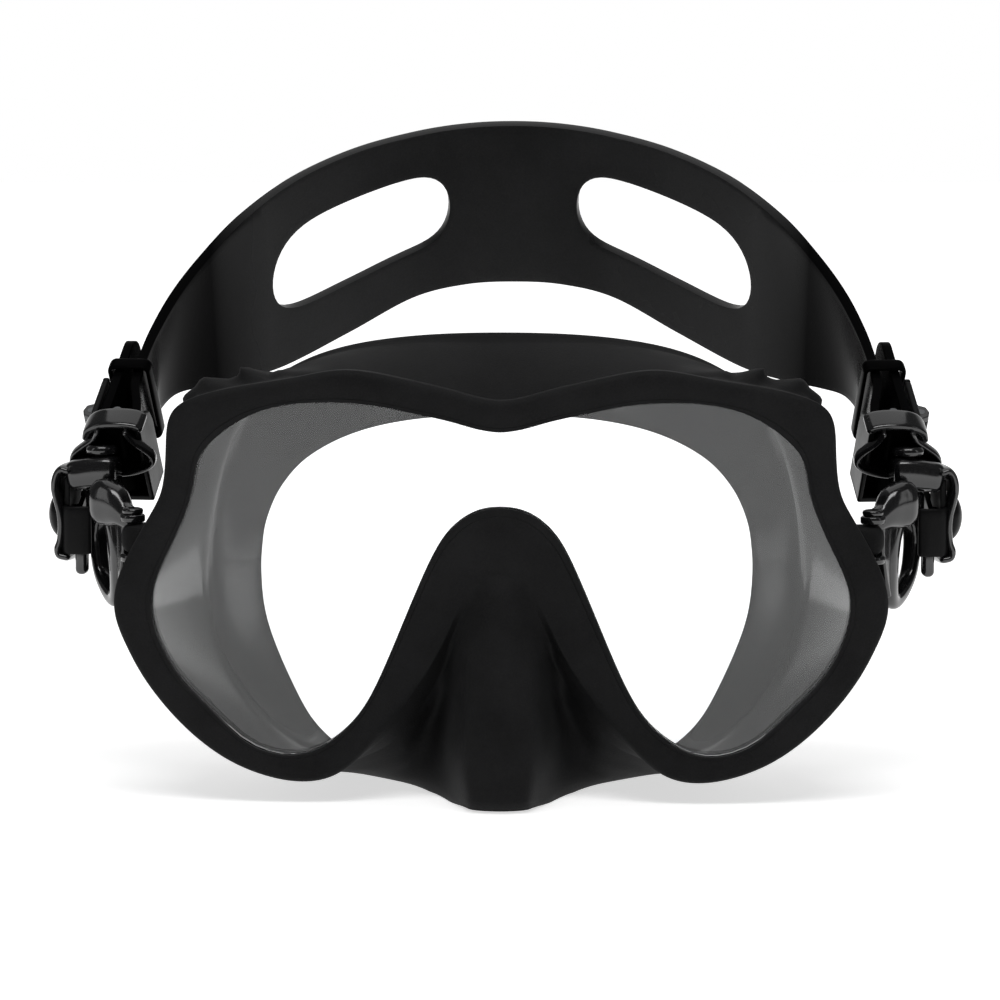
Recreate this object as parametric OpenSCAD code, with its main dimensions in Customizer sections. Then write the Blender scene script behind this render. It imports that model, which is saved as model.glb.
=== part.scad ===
// Frameless single-lens diving mask with a moulded silicone skirt, a split head
// strap and two swivelling quick-adjust buckles.
// Millimetres. X is to the wearer's left, +Y goes from the glass to the back of the
// head, +Z is up. The mask stands on its nose pocket and the lower skirt edge, z = 0.

/* [Lens and rim] */
// Thickness of the tempered glass pane
lens_t = 4; // [3:0.5:4.5]
// Depth of the silicone rim that grips the glass
rim_d = 9; // [8.6:0.2:10]
// Thickness of the stiff ring moulded in behind the glass
subframe_t = 2; // [1.5:0.25:2]
// Share of the rim width that covers the edge of the glass
lens_cover = 0.42; // [0.3:0.02:0.5]
// Gap kept between two parts that sit together without moving
seat_gap = 0.1; // [0.05:0.05:0.15]

/* [Skirt] */
// Wall thickness of the silicone skirt
wall_t = 1.8; // [1.4:0.1:2]
// Thickness of the soft lip that meets the face
lip_t = 0.9; // [0.7:0.1:1.2]
// How far the side walls bulge outward
wall_bulge = 1.4; // [0:0.2:2]
// Points added between two control stations of the contour
skirt_smooth = 2; // [1:1:3]

/* [Head strap] */
// Thickness of the back band
strap_t = 2.8; // [2.2:0.2:3.2]
// Where each strap window starts, measured down the band
window_top = 0.25; // [0.2:0.01:0.3]
// Where each strap window ends, measured down the band
window_bottom = 0.72; // [0.66:0.01:0.76]
// Points added between two control stations of the strap
strap_smooth = 3; // [2:1:4]

/* [Buckle] */
// Lean of the strap frame, so that it lines up with the rising strap
frame_tilt = 35; // [30:1:38]
// Diameter of the roller the strap turns round
roller_d = 5; // [4.6:0.1:5]
// Thickness of the strap where it turns round the roller
strap_end_t = 2; // [1.8:0.1:2]
// Width of the strap where it turns round the roller
strap_end_w = 18; // [16:0.5:18]
// Diameter of the upright pin the buckle swivels on
swivel_pin_d = 3; // [2.6:0.1:3.2]
// Diameter of the release button
button_d = 11; // [10:0.5:11]

/* [Part] */
// Sub-part to show

/* [Hidden] */
run_gap = 0.05; // radial clearance of every turning fit
eps = 0.01;
depth_mid = 61.06; // middle of the whole depth, put over the origin
fine = 64;

// ---- contour of the rim: half of the loop, top centre to nose arch centre [x, z]
rim_out = [
  [0, 85.9], [9.3, 87.8], [18, 89.9], [27, 91.8], [35, 92.2], [44, 90.6],
  [54, 89], [63, 87], [69.3, 83.2], [70.6, 75.5], [71.4, 67.4], [74, 61.6],
  [78.4, 53.8], [81.4, 46.5], [81.6, 40], [79.2, 33.4], [75, 25.8], [68, 17.2],
  [59.5, 10.2], [51, 6.2], [43, 4.6], [36, 5.6], [30.6, 9.2], [26.4, 13.8],
  [21.6, 19.6], [16.6, 26.6], [12.6, 33.4], [9.8, 39.6], [6.6, 45.4], [3.4, 49.4],
  [0, 50.6]];
rim_in = [
  [0, 79.2], [9.3, 81.1], [17.5, 83], [26, 84.7], [33.8, 85.4], [41, 85.3],
  [47.5, 84.4], [54, 82], [60.5, 77.4], [63.9, 72.5], [65, 67], [67.3, 60],
  [70.8, 52.5], [73.4, 46], [73.7, 40], [72, 34], [68, 27], [61.8, 20.5],
  [55, 14], [49, 11], [43.5, 10.4], [38.3, 11.9], [33.4, 15.3], [29.2, 20.2],
  [25.2, 27.8], [21, 37.7], [16.8, 47.7], [12.6, 56], [8.2, 60.6], [4.1, 62.6],
  [0, 63.1]];
// shoulder where the side wall turns into the face seal, and the free lip [x, y, z]
shoulder = [
  [0, 33, 97.2], [9, 33.3, 97], [18, 34.2, 96.4], [27, 36, 95.2], [35.5, 38.5, 93.3],
  [43.5, 41.5, 90.3], [50.5, 44.5, 86], [56, 47, 80.7], [60.3, 49, 74.4],
  [63.2, 50.3, 67.6], [65, 51, 61], [66, 51.3, 55], [66.5, 51.2, 49],
  [66.5, 50.6, 43], [66, 49.8, 37], [64.8, 48.8, 31], [62.6, 47.6, 24.6],
  [59, 46.4, 18], [54.5, 45.2, 11.8], [49, 43.8, 6.6], [43, 42, 2.9],
  [36.5, 39.4, 0.9], [30.5, 35.8, 0.2], [25.5, 31.4, 0], [21.6, 26.6, 0],
  [18.2, 21.6, 0], [15.2, 17, 0], [12, 13.2, 0], [8.2, 10.6, 0], [4.1, 9.2, 0],
  [0, 8.8, 0]];
lip = [
  [0, 41, 80], [8.5, 41.3, 79.8], [17, 42.5, 79.2], [25.5, 44.3, 77.8],
  [33, 46.8, 75.6], [39.5, 49.5, 72.6], [45, 52.2, 68.9], [48.8, 54.4, 65],
  [51.6, 56, 61], [53.5, 57, 57], [54.8, 57.6, 53], [55.4, 57.8, 49],
  [55.7, 57.7, 45], [55.6, 57.2, 41], [55.2, 56.5, 36.8], [54.2, 55.6, 32],
  [52.4, 54.6, 26.8], [50, 53.6, 21.2], [47.3, 52.6, 15.6], [44.3, 51, 10.6],
  [40, 48.6, 6.2], [34.6, 45, 3.2], [29, 40.2, 2.2], [24, 34.6, 2.2], [20, 29.4, 2.6],
  [16.6, 24.6, 3.2], [13.6, 20.4, 4], [10.6, 17.4, 4.8], [7.2, 15.6, 5.4],
  [3.6, 14.7, 5.8], [0, 14.4, 5.9]];
// nose pocket: five points down the wall, for the stations from the lobe to the nose
pocket_start = 21;
pocket = [
  [[36, 9, 6.2], [36.5, 14, 5.5], [36.8, 20, 3.8], [36.8, 27, 2.2], [36.6, 33, 1.3]],
  [[29.5, 7, 9.6], [28.4, 11, 8.8], [28, 15.5, 6.4], [28.4, 21, 3.6], [29.4, 28, 1.4]],
  [[24.6, 4.5, 13.8], [22.8, 7.5, 12.6], [21.6, 10.5, 9.6], [21.6, 14.5, 5.6], [23.2, 21.5, 1.8]],
  [[19.4, 3.6, 19.4], [17.6, 5.4, 18.2], [16.6, 7, 14], [16.4, 8.6, 8.4], [17.4, 13.5, 2.6]],
  [[15, 3, 26.4], [13.8, 4.2, 25], [12.8, 4.2, 18.5], [12.6, 4, 10.5], [12.6, 6.8, 2.4]],
  [[11.4, 2, 33], [10.8, 2.2, 31], [10.2, -0.6, 21.6], [10.3, -2.6, 11.4], [9.6, -0.5, 1.6]],
  [[8.9, 0.6, 38.6], [8.4, -0.4, 36], [8, -5, 24], [8.2, -7.8, 12], [7.4, -6.3, 0.8]],
  [[6.1, -0.2, 44], [5.8, -1.6, 41], [5.8, -7.4, 26.6], [6, -10.8, 12.6], [5.6, -8.6, 0.5]],
  [[3.2, -0.4, 47.8], [3.1, -2.2, 44.5], [3.1, -8.4, 28.2], [3.2, -12, 13], [3, -9.4, 0.4]],
  [[0, -0.4, 49], [0, -2.4, 45.6], [0, -8.8, 28.8], [0, -12.4, 13.2], [0, -9.8, 0.4]]];

lens_y = 1.3; // front face of the glass
groove_end = lens_y + lens_t + subframe_t + 2 * seat_gap;
half_n = len(rim_out) - 1;
body_mid = [0, 45]; // point the side walls bulge away from [x, z]

// Blends two points: t = 0 gives a, t = 1 gives b
function mix(a, b, t) = a + (b - a) * t;
// Lifts a contour point [x, z] to depth y
function lift(p, y) = [p[0], y, p[1]];
function unit(v) = v / norm(v);
// Catmull-Rom curve through b and c
function spline(a, b, c, d, t) =
  ((2 * b) + (c - a) * t + (2 * a - 5 * b + 4 * c - d) * t * t
    + (3 * b - a - 3 * c + d) * t * t * t) / 2;
// Mirrors a half loop into a closed loop
function close_loop(half) = concat(
  [for (k = [0:half_n]) half[k]],
  [for (k = [half_n - 1:-1:1]) [-half[k][0], half[k][1], half[k][2]]]);
// Adds skirt_smooth - 1 points between the stations of a closed loop
function smooth_loop(p) = [for (k = [0:len(p) - 1], s = [0:skirt_smooth - 1])
  spline(p[(k + len(p) - 1) % len(p)], p[k], p[(k + 1) % len(p)], p[(k + 2) % len(p)],
    s / skirt_smooth)];

// ---- rings of the outer skin, from the glass to the lip
function out_push(k) = let(d = rim_out[k] - body_mid) wall_bulge * lift(unit(d), 0);
function side_ring(k, t, push) = let(
  neck = lift(mix(rim_out[k], rim_in[k], 0.3), rim_d + 1.4))
  mix(neck, shoulder[k], t) + push * out_push(k);
function wall_point(k, i) = k >= pocket_start ? pocket[k - pocket_start][i] :
  i == 0 ? lift(mix(rim_out[k], rim_in[k], 0.06), rim_d) :
  side_ring(k, [0, 0, 0.34, 0.64, 0.86][i], [0, 0, 1, 1.2, 0.8][i]);
half_k = [0:half_n];
ring_front_in = [for (k = half_k) lift(rim_in[k], 0.1)];
ring_front_mid = [for (k = half_k) lift(mix(rim_in[k], rim_out[k], 0.5), -0.5)];
ring_front_out = [for (k = half_k) lift(rim_out[k], 0.8)];
skin = concat([ring_front_out],
  [for (i = [0:4]) [for (k = half_k) wall_point(k, i)]], [shoulder], [lip]);
skin_loops = [for (r = skin) smooth_loop(close_loop(r))];
loop_len = len(skin_loops[0]);
// Outward normal of the skin at ring i, point j
function skin_normal(i, j) = let(
  along = skin_loops[i][(j + 1) % loop_len] - skin_loops[i][(j + loop_len - 1) % loop_len],
  down = skin_loops[min(i + 1, len(skin) - 1)][j] - skin_loops[i - 1][j])
  unit(cross(along, down));
function inset_ring(i, t) = [for (j = [0:loop_len - 1])
  skin_loops[i][j] - t * skin_normal(i, j)];
// Rear edge of the rim inside the mask: wide at the sides, narrow over the nose
function rear_share(k) = k < pocket_start ? 0.72 : max(0.3, 0.72 - 0.1 * (k - 20));
ring_rear = [for (k = half_k)
  lift(mix(rim_out[k], rim_in[k], rear_share(k)), groove_end + 1.5)];
ring_seat = [for (k = half_k) lift(rim_in[k], groove_end)];
groove = [for (k = half_k) mix(rim_in[k], rim_out[k], lens_cover)];

function flat_loop(half, y) = smooth_loop(close_loop([for (p = half) lift(p, y)]));
skirt_rings = concat(
  [smooth_loop(close_loop(ring_front_in)), smooth_loop(close_loop(ring_front_mid))],
  skin_loops,
  [inset_ring(len(skin) - 1, lip_t)],
  [for (i = [len(skin) - 2:-1:2]) inset_ring(i, wall_t)],
  [smooth_loop(close_loop(ring_rear)), smooth_loop(close_loop(ring_seat)),
   flat_loop(groove, groove_end), flat_loop(groove, lens_y - seat_gap),
   flat_loop(rim_in, lens_y - seat_gap)]);

// Closes a list of equal rings into a solid that is hollow through its middle
module ring_solid(rings) {
  nr = len(rings);
  nj = len(rings[0]);
  pts = [for (r = rings, p = r) p];
  faces = [for (i = [0:nr - 1], j = [0:nj - 1]) let(
      a = i * nj + j, b = i * nj + (j + 1) % nj,
      c = ((i + 1) % nr) * nj + (j + 1) % nj, d = ((i + 1) % nr) * nj + j)
    each [[a, c, b], [a, d, c]]];
  polyhedron(points = pts, faces = faces, convexity = 12);
}

// ---- skirt, glass and subframe
lug_at = [79.4, 15.5]; // anchor pin of the side lug [x, y]
lug_root = [75.3, 71.9]; // where the lug meets the wall, at its foot and its top
lug_z = [51.6, 58.4];
lug_r = 3.4;
anchor_d = 2.4;

module side_lug() {
  difference() {
    union() {
      translate([lug_at[0], lug_at[1], lug_z[0]]) cylinder(r = lug_r, h = lug_z[1] - lug_z[0], $fn = fine);
      plate(lug_at[1] - lug_r, lug_at[1] + lug_r)
        polygon([[lug_root[0], lug_z[0]], [lug_at[0], lug_z[0]], [lug_at[0], lug_z[1]],
          [lug_root[1], lug_z[1]]]);
    }
    translate([lug_at[0], lug_at[1], lug_z[0] - 1])
      cylinder(d = anchor_d + 2 * run_gap, h = 10, $fn = fine);
  }
}

module skirt() {
  color("#1b1b1c") {
    ring_solid(skirt_rings);
    side_lug();
    mirror([1, 0, 0]) side_lug();
  }
}

// Outline at a share of the rim width from the visible edge of the glass outward
function outline(share) = [for (p = smooth_loop(close_loop(
    [for (k = half_k) lift(mix(rim_in[k], rim_out[k], share), 0)]))) [p[0], p[2]]];
// A flat plate across the mask between two depths
module plate(y0, y1) {
  translate([0, y1, 0]) rotate([90, 0, 0]) linear_extrude(y1 - y0) children();
}

lens_step = 0.3; // depth of the ground edge that sits under the rim
module lens() {
  color("#c9d6d8", 0.4) {
    plate(lens_y + lens_step, lens_y + lens_t) polygon(outline(lens_cover - 0.03));
    plate(lens_y, lens_y + lens_step + eps) polygon(outline(-0.03));
  }
}

module subframe() {
  color("#3a3a3d")
    plate(lens_y + lens_t + seat_gap, lens_y + lens_t + seat_gap + subframe_t) difference() {
      polygon(outline(lens_cover - 0.03));
      polygon(outline(0.08));
    }
}

// ---- head strap: inner face edges, from the middle of the back to the buckle
strap_up = [
  [0, 114, 142.5], [11.5, 113.5, 141.9], [23, 111.8, 140], [36.5, 107.8, 136.3],
  [50, 100.5, 130], [61, 91.5, 121.6], [69, 81.3, 112.6], [74.6, 71, 104.6],
  [78.4, 61, 96.9]];
strap_low = [
  [0, 132, 104.6], [12, 131.5, 103.9], [24.5, 129.3, 100.8], [39.5, 123.3, 92.8],
  [54.5, 113, 85.3], [65, 102.3, 82.6], [72.2, 91.3, 81.8], [77.2, 80.3, 80.8],
  [79.8, 70, 77.6]];

// The buckle has its own frame: x outward, y along the strap, z along the roller
roller_at = [85.5, 42, 72];
swivel_at = [88.2, 33]; // upright axis the buckle turns on [x, y]
buckle_yaw = 9; // the strap runs inward from the buckle by this angle
wrap_in = roller_d / 2 + run_gap;
wrap_out = wrap_in + strap_end_t;
frame_rear = 13;
function turned(p) = let(d = p - [swivel_at[0], swivel_at[1], 0])
  [swivel_at[0] + d[0] * cos(buckle_yaw) - d[1] * sin(buckle_yaw),
   swivel_at[1] + d[0] * sin(buckle_yaw) + d[1] * cos(buckle_yaw), p[2]];
function to_mask(p) = turned(roller_at + [p[0],
  p[1] * cos(frame_tilt) - p[2] * sin(frame_tilt),
  p[1] * sin(frame_tilt) + p[2] * cos(frame_tilt)]);
// Places a child drawn with the buckle straight at its rest angle
module on_swivel() {
  translate([swivel_at[0], swivel_at[1], 0]) rotate([0, 0, buckle_yaw])
    translate([-swivel_at[0], -swivel_at[1], 0]) children();
}
module in_frame() {
  on_swivel() translate(roller_at) rotate([frame_tilt, 0, 0]) children();
}

run_x = 1.9; // how far inboard of the roller's axis the side run leaves the channel
function up_end(y) = to_mask([-run_x, y, strap_end_w / 2]);
function low_end(y) = to_mask([-run_x, y, -strap_end_w / 2]);
side_join = frame_rear + 1; // where the strap end stops and the side run starts
strap_hi = concat(strap_up, [up_end(side_join + 6), up_end(side_join)]);
strap_lo = concat(strap_low, [low_end(side_join + 6), low_end(side_join)]);
strap_n = len(strap_hi) - 1;
strap_last = len(strap_up) - 3; // the back band ends here and the side run starts

// Point p[k] with the list mirrored at the centre and run on past its end
function strap_ctrl(p, k) = k < 0 ? [-p[-k][0], p[-k][1], p[-k][2]] :
  k > strap_n ? 2 * p[strap_n] - p[2 * strap_n - k] : p[k];
function strap_pt(p, s) = let(k = min(floor(s), strap_n - 1), t = s - k)
  spline(strap_ctrl(p, k - 1), strap_ctrl(p, k), strap_ctrl(p, k + 1),
    strap_ctrl(p, k + 2), t);
function side_sign(s, v) = s < 0 ? [-v[0], v[1], v[2]] : v;
function hi_pt(s) = side_sign(s, strap_pt(strap_hi, abs(s)));
function lo_pt(s) = side_sign(s, strap_pt(strap_lo, abs(s)));
function strap_out(s) =
  s >= strap_n - 0.5 ? [cos(buckle_yaw), sin(buckle_yaw), 0] :
  s <= 0.5 - strap_n ? [-cos(buckle_yaw), sin(buckle_yaw), 0] :
  unit(cross(hi_pt(s) - lo_pt(s),
    hi_pt(s + 0.05) - hi_pt(s - 0.05) + lo_pt(s + 0.05) - lo_pt(s - 0.05)));
// Full thickness at the back, down to the thin end at the buckle
function thick_at(s) = mix(strap_t, strap_end_t, max(0, (abs(s) - 5) / (strap_n - 5)));
function strap_section(s) = let(n = strap_out(s) * thick_at(s))
  [hi_pt(s), hi_pt(s) + n, lo_pt(s) + n, lo_pt(s)];

module strap_run(s0, s1) {
  steps = round(abs(s1 - s0) * strap_smooth);
  secs = [for (i = [0:steps]) strap_section(mix(s0, s1, i / steps))];
  pts = [for (q = secs, p = q) p];
  e = 4 * steps;
  faces = concat([[0, 2, 1], [0, 3, 2]],
    [for (i = [0:steps - 1], j = [0:3]) let(a = 4 * i + j, b = 4 * i + (j + 1) % 4)
      each [[a, b + 4, a + 4], [a, b, b + 4]]],
    [[e, e + 1, e + 2], [e, e + 2, e + 3]]);
  polyhedron(points = pts, faces = faces, convexity = 8);
}

window_from = 1.3;
window_to = 4.35;
window_steps = 28;
// Half height of the window, as a share of its middle height, with round ends
function window_half(t) = pow(1 - pow(abs(2 * t - 1), 5), 0.5);
function window_pt(t, side) = let(
  s = mix(window_from, window_to, t),
  m = (window_top + window_bottom) / 2,
  v = m + side * window_half(t) * (window_bottom - window_top) / 2,
  p = mix(hi_pt(s), lo_pt(s), v)) [p[0], p[2]];
module strap_window() {
  even = [for (i = [0:window_steps]) (1 - cos(180 * i / window_steps)) / 2];
  plate(70, 150) polygon(concat([for (t = even) window_pt(t, -1)],
    [for (i = [window_steps - 1:-1:1]) window_pt(even[i], 1)]));
}

module strap() {
  color("#222224") difference() {
    strap_run(-strap_last, strap_last);
    strap_window();
    mirror([1, 0, 0]) strap_window();
  }
}

module strap_side() {
  color("#222224") strap_run(strap_last, strap_n);
}

// ---- turn of the strap round the roller, with its free tail
tail_y = 30;
bend_y = 1.5; // the inner run leans outward from here
module strap_end() {
  color("#222224") in_frame()
    translate([0, 0, -strap_end_w / 2]) linear_extrude(strap_end_w) {
      difference() {
        circle(r = wrap_out, $fn = fine);
        circle(r = wrap_in, $fn = fine);
        translate([-wrap_out - 1, 0]) square(2 * wrap_out + 2);
      }
      polygon([[-wrap_out, -eps], [-wrap_in, -eps], [-wrap_in, bend_y],
        [strap_end_t - run_x, side_join - run_gap], [-run_x, side_join - run_gap],
        [-wrap_out, bend_y]]);
      translate([wrap_in, -eps]) square([strap_end_t, tail_y + eps]);
    }
}

// ---- buckle frame: strap channel, knuckle and outer case in one moulding
frame_in = wrap_out + 0.35; // half width of the strap channel
frame_side = 1.5;
frame_out = frame_in + frame_side;
channel_z = strap_end_w / 2 + 0.25;
flange_t = 1.6;
frame_front = -5.3;
roller_pin_d = 2;
pawl_pin_d = 1.6;
pawl_pin_at = [7.6, 4.5];
pawl_z = 5.4; // half height of the pawl between its ears
ear_t = 1.5;
arm_bar_z = [-9, -5.6]; // bar that carries the button's push to the pawl
knuckle_z = [63.8, 71.4];
knuckle_r = 4.7;
swivel_head_d = 6.8;
case_x = [94.9, 97.2];
case_y = [28, 41];
case_z = [50, 66];
button_at = [35, 58]; // axis of the release button [y, z]
button_stem_d = 4;
button_base = 97.6;
button_rise = 3;
button_travel = 1.2;

// Bell-shaped mouth on the front of the channel [x, z]
mouth = [[-5, 10.6], [-6.4, 6.5], [-8, 3.6], [-8, 1.2], [-6.4, -1.2], [-2, -3],
  [4, -3.2], [9, -1.8], [10.4, 0.8], [9.6, 3.2], [6.6, 6.5], [5, 10.6]];
mouth_hole = [[-3.9, 9.2], [-5.2, 5.9], [-6.6, 3], [-6.6, 1.8], [-5.6, 0], [-1.8, -1.6],
  [3.8, -1.8], [8.2, -0.6], [9, 1], [8.4, 2.4], [5.4, 5.9], [3.9, 9.2]];

module bar_z(d, z0, z1) {
  translate([0, 0, z0]) cylinder(d = d, h = z1 - z0, $fn = fine);
}
module block(lo, hi) {
  translate(lo) cube(hi - lo);
}

module channel() {
  in_frame() {
    block([-frame_out, frame_front, -channel_z - flange_t],
      [-frame_in, frame_rear, channel_z + flange_t]);
    difference() {
      block([frame_in, frame_front, -channel_z - flange_t],
        [frame_out, frame_rear, channel_z + flange_t]);
      block([frame_in - 1, -0.5, -pawl_z - 0.2], [frame_out + 1, frame_rear - 1.2, pawl_z + 0.2]);
    }
    for (z = [channel_z, -channel_z - flange_t])
      block([-frame_out, frame_front, z], [frame_out, 3, z + flange_t]);
    for (z = [pawl_z + 0.15, -pawl_z - 0.15 - ear_t])
      block([frame_out - 0.2, 2.2, z], [pawl_pin_at[0] + 2, 7, z + ear_t]);
    translate([0, frame_front, 0]) rotate([90, 0, 0]) linear_extrude(1.8) difference() {
      polygon(mouth);
      polygon(mouth_hole);
    }
  }
}

module knuckle_and_case() {
  on_swivel() {
    translate([swivel_at[0], swivel_at[1], knuckle_z[0]])
      cylinder(r = knuckle_r, h = knuckle_z[1] - knuckle_z[0], $fn = fine);
    block([swivel_at[0], swivel_at[1] - knuckle_r, knuckle_z[0]],
      [case_x[0] + 0.5, swivel_at[1] + 5.6, knuckle_z[1] - 0.8]);
    block([case_x[0], case_y[0], case_z[0]], [case_x[1], case_y[1], knuckle_z[0] + 3]);
    block([91, case_y[0], case_z[0]], [case_x[1], case_y[0] + 1.6, knuckle_z[0] + 2]);
    block([91, case_y[0], case_z[0] - 4.2], [93.4, case_y[0] + 3.4, case_z[0] + 1]);
  }
}

module buckle() {
  color("#0c0c0d") difference() {
    union() {
      channel();
      difference() {
        knuckle_and_case();
        in_frame() block([-frame_in, frame_front + 0.1, -channel_z], [frame_in, 12, channel_z]);
        in_frame() block([frame_out + 0.1, -15.4, arm_bar_z[0] - 0.6],
          [pawl_pin_at[0] + 1.7, 8, arm_bar_z[1] + 0.6]);
      }
    }
    in_frame() translate([0, 0, -20]) cylinder(d = roller_pin_d + 2 * run_gap, h = 40, $fn = fine);
    in_frame() translate([pawl_pin_at[0], pawl_pin_at[1], -9])
      cylinder(d = pawl_pin_d + 2 * run_gap, h = 18, $fn = fine);
    on_swivel() translate([swivel_at[0], swivel_at[1], 60])
      cylinder(d = swivel_pin_d + 2 * run_gap, h = 14, $fn = fine);
    on_swivel() translate([swivel_at[0], swivel_at[1], knuckle_z[1]])
      cylinder(d = swivel_head_d + 0.6, h = 2.2, $fn = fine);
    on_swivel() translate([90, button_at[0], button_at[1]]) rotate([0, 90, 0])
      cylinder(d = button_stem_d + 2 * run_gap, h = 12, $fn = fine);
    on_swivel() translate([button_base - button_travel - 0.2, button_at[0], button_at[1]])
      rotate([0, 90, 0]) cylinder(d = button_d + 0.2, h = 8, $fn = fine);
  }
}

module roller() {
  color("#0e0e0f") in_frame() difference() {
    bar_z(roller_d, -channel_z + 0.15, channel_z - 0.15);
    bar_z(roller_pin_d + 2 * run_gap, -20, 20);
  }
}

module roller_pin() {
  color("#9a9da0") in_frame() {
    bar_z(roller_pin_d, -channel_z - flange_t - 0.2, channel_z + flange_t + 0.2);
  }
}

module pawl() {
  color("#0e0e0f") in_frame() difference() {
    union() {
      translate([0, 0, -pawl_z]) linear_extrude(2 * pawl_z) {
        translate(pawl_pin_at) circle(r = 1.9, $fn = fine);
        polygon([[5.8, 4.5], [wrap_out + 0.15, 10.2], [wrap_out + 0.9, 11.2], [7.2, 10.8],
          [9.4, 5]]);
      }
      block([pawl_pin_at[0], -13.8, arm_bar_z[0]], [pawl_pin_at[0] + 1.4, 2.4, arm_bar_z[1]]);
      block([pawl_pin_at[0], 0.6, arm_bar_z[0]], [pawl_pin_at[0] + 1.4, 4, -pawl_z + 3]);
    }
    translate([pawl_pin_at[0], pawl_pin_at[1], -20])
      cylinder(d = pawl_pin_d + 2 * run_gap, h = 40, $fn = fine);
    block([5, 2, -pawl_z - 0.3 - ear_t], [12, 7.2, -pawl_z - eps]);
    // the button's stem bears only on the last millimetre of the bar
    block([pawl_pin_at[0] + 1.1, -12.8, arm_bar_z[0] - 1],
      [pawl_pin_at[0] + 2, -9.4, arm_bar_z[1] + 1]);
  }
}

module pawl_pin() {
  color("#9a9da0") in_frame() translate([pawl_pin_at[0], pawl_pin_at[1], 0])
    bar_z(pawl_pin_d, -pawl_z - ear_t - 0.2, pawl_z + ear_t + 0.2);
}

// ---- release button, and the curved cover round it
module button() {
  cap_r = (pow(button_d / 2, 2) + pow(button_rise, 2)) / (2 * button_rise);
  stem_end = 94.55;
  color("#111112") on_swivel() translate([0, button_at[0], button_at[1]]) rotate([0, 90, 0]) {
    intersection() {
      translate([0, 0, button_base + button_rise - cap_r]) sphere(r = cap_r, $fn = fine);
      translate([0, 0, button_base]) cylinder(d = button_d, h = 2 * button_rise, $fn = fine);
    }
    translate([0, 0, stem_end])
      cylinder(d = button_stem_d, h = button_base - stem_end + 0.2, $fn = fine);
  }
}

cover_shape = [[96.3, 67.2], [96.3, 69.3], [97, 69.8], [98.4, 68.8], [99.2, 66.4],
  [99, 63], [98.6, 60], [98.5, 56], [98.8, 53], [99.1, 51], [98.6, 49.4], [97.2, 48.6],
  [95.6, 48.8], [95.4, 49.8], [97.3, 49.9], [97.3, 67]];
module cover() {
  color("#101011") on_swivel() difference() {
    translate([0, case_y[1] - 0.4, 0]) rotate([90, 0, 0])
      linear_extrude(case_y[1] - case_y[0] - 0.8) polygon(cover_shape);
    translate([90, button_at[0], button_at[1]]) rotate([0, 90, 0])
      cylinder(d = button_d + 0.4, h = 20, $fn = fine);
  }
}

// ---- arm between the skirt lug and the swivel
arm_t = 3.8;
arm_z = [39, 63.3];
barrel_r = 3.6;
barrel_z = 58.6;
arm_turn = atan2(swivel_at[1] - lug_at[1], swivel_at[0] - lug_at[0]);
arm_l = norm(swivel_at - lug_at);
// Outline of the arm plate: u runs from the lug to the swivel [u, z]
arm_shape = [[3.9, 60.9], [7, 62], [12, 62.9], [arm_l, 63], [arm_l + 2.4, 62],
  [arm_l + 3, 59], [arm_l + 3, 54], [arm_l + 2.6, 49], [arm_l + 1.2, 44.6],
  [arm_l - 1.6, 41.2], [arm_l - 5.6, 39.3], [arm_l - 9.6, 39], [7.4, 40.8], [5.6, 44.4],
  [4.2, 49], [3.9, 54]];
arm_hole = [[13.2, 56.6], [19.6, 57.2], [21.2, 55.6], [21.4, 52], [20.6, 48.4],
  [18.4, 45], [15.4, 43.3], [12.8, 43.4], [11.2, 45.4], [10.8, 49], [11.2, 53.4],
  [12, 55.8]];
module arm() {
  fork_z = [lug_z[0] - 0.1, lug_z[1] + 0.1];
  color("#0d0d0e") difference() {
    union() {
      translate([lug_at[0], lug_at[1], 0]) rotate([0, 0, arm_turn]) {
        translate([0, arm_t / 2, 0]) rotate([90, 0, 0]) linear_extrude(arm_t) difference() {
          polygon(arm_shape);
          polygon(arm_hole);
        }
        for (z = [fork_z[0] - 1.6, fork_z[1]]) translate([0, 0, z]) {
          cylinder(r = 2.7, h = 1.6, $fn = fine);
          translate([0, -1.7, 0]) cube([5, 3.4, 1.5]);
        }
      }
      translate([swivel_at[0], swivel_at[1], barrel_z])
        cylinder(r = barrel_r, h = arm_z[1] - barrel_z, $fn = fine);
    }
    translate([swivel_at[0], swivel_at[1], barrel_z - 0.4])
      cylinder(d = swivel_pin_d + 2 * run_gap, h = 12, $fn = fine);
    translate([lug_at[0], lug_at[1], 40])
      cylinder(d = anchor_d + 2 * run_gap, h = 30, $fn = fine);
  }
}

module anchor_pin() {
  color("#121213") translate([lug_at[0], lug_at[1], 0]) {
    translate([0, 0, lug_z[0] - 1.9]) cylinder(d = anchor_d, h = lug_z[1] - lug_z[0] + 3.8, $fn = fine);
    translate([0, 0, lug_z[1] + 1.8]) cylinder(d = 4.2, h = 1.2, $fn = fine);
  }
}

module swivel_pin() {
  color("#121213") translate([swivel_at[0], swivel_at[1], 0]) {
    translate([0, 0, barrel_z - 0.2])
      cylinder(d = swivel_pin_d, h = knuckle_z[1] - barrel_z + 0.6, $fn = fine);
    translate([0, 0, knuckle_z[1] + 0.2]) cylinder(d = swivel_head_d, h = 1.4, $fn = fine);
  }
}

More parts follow.
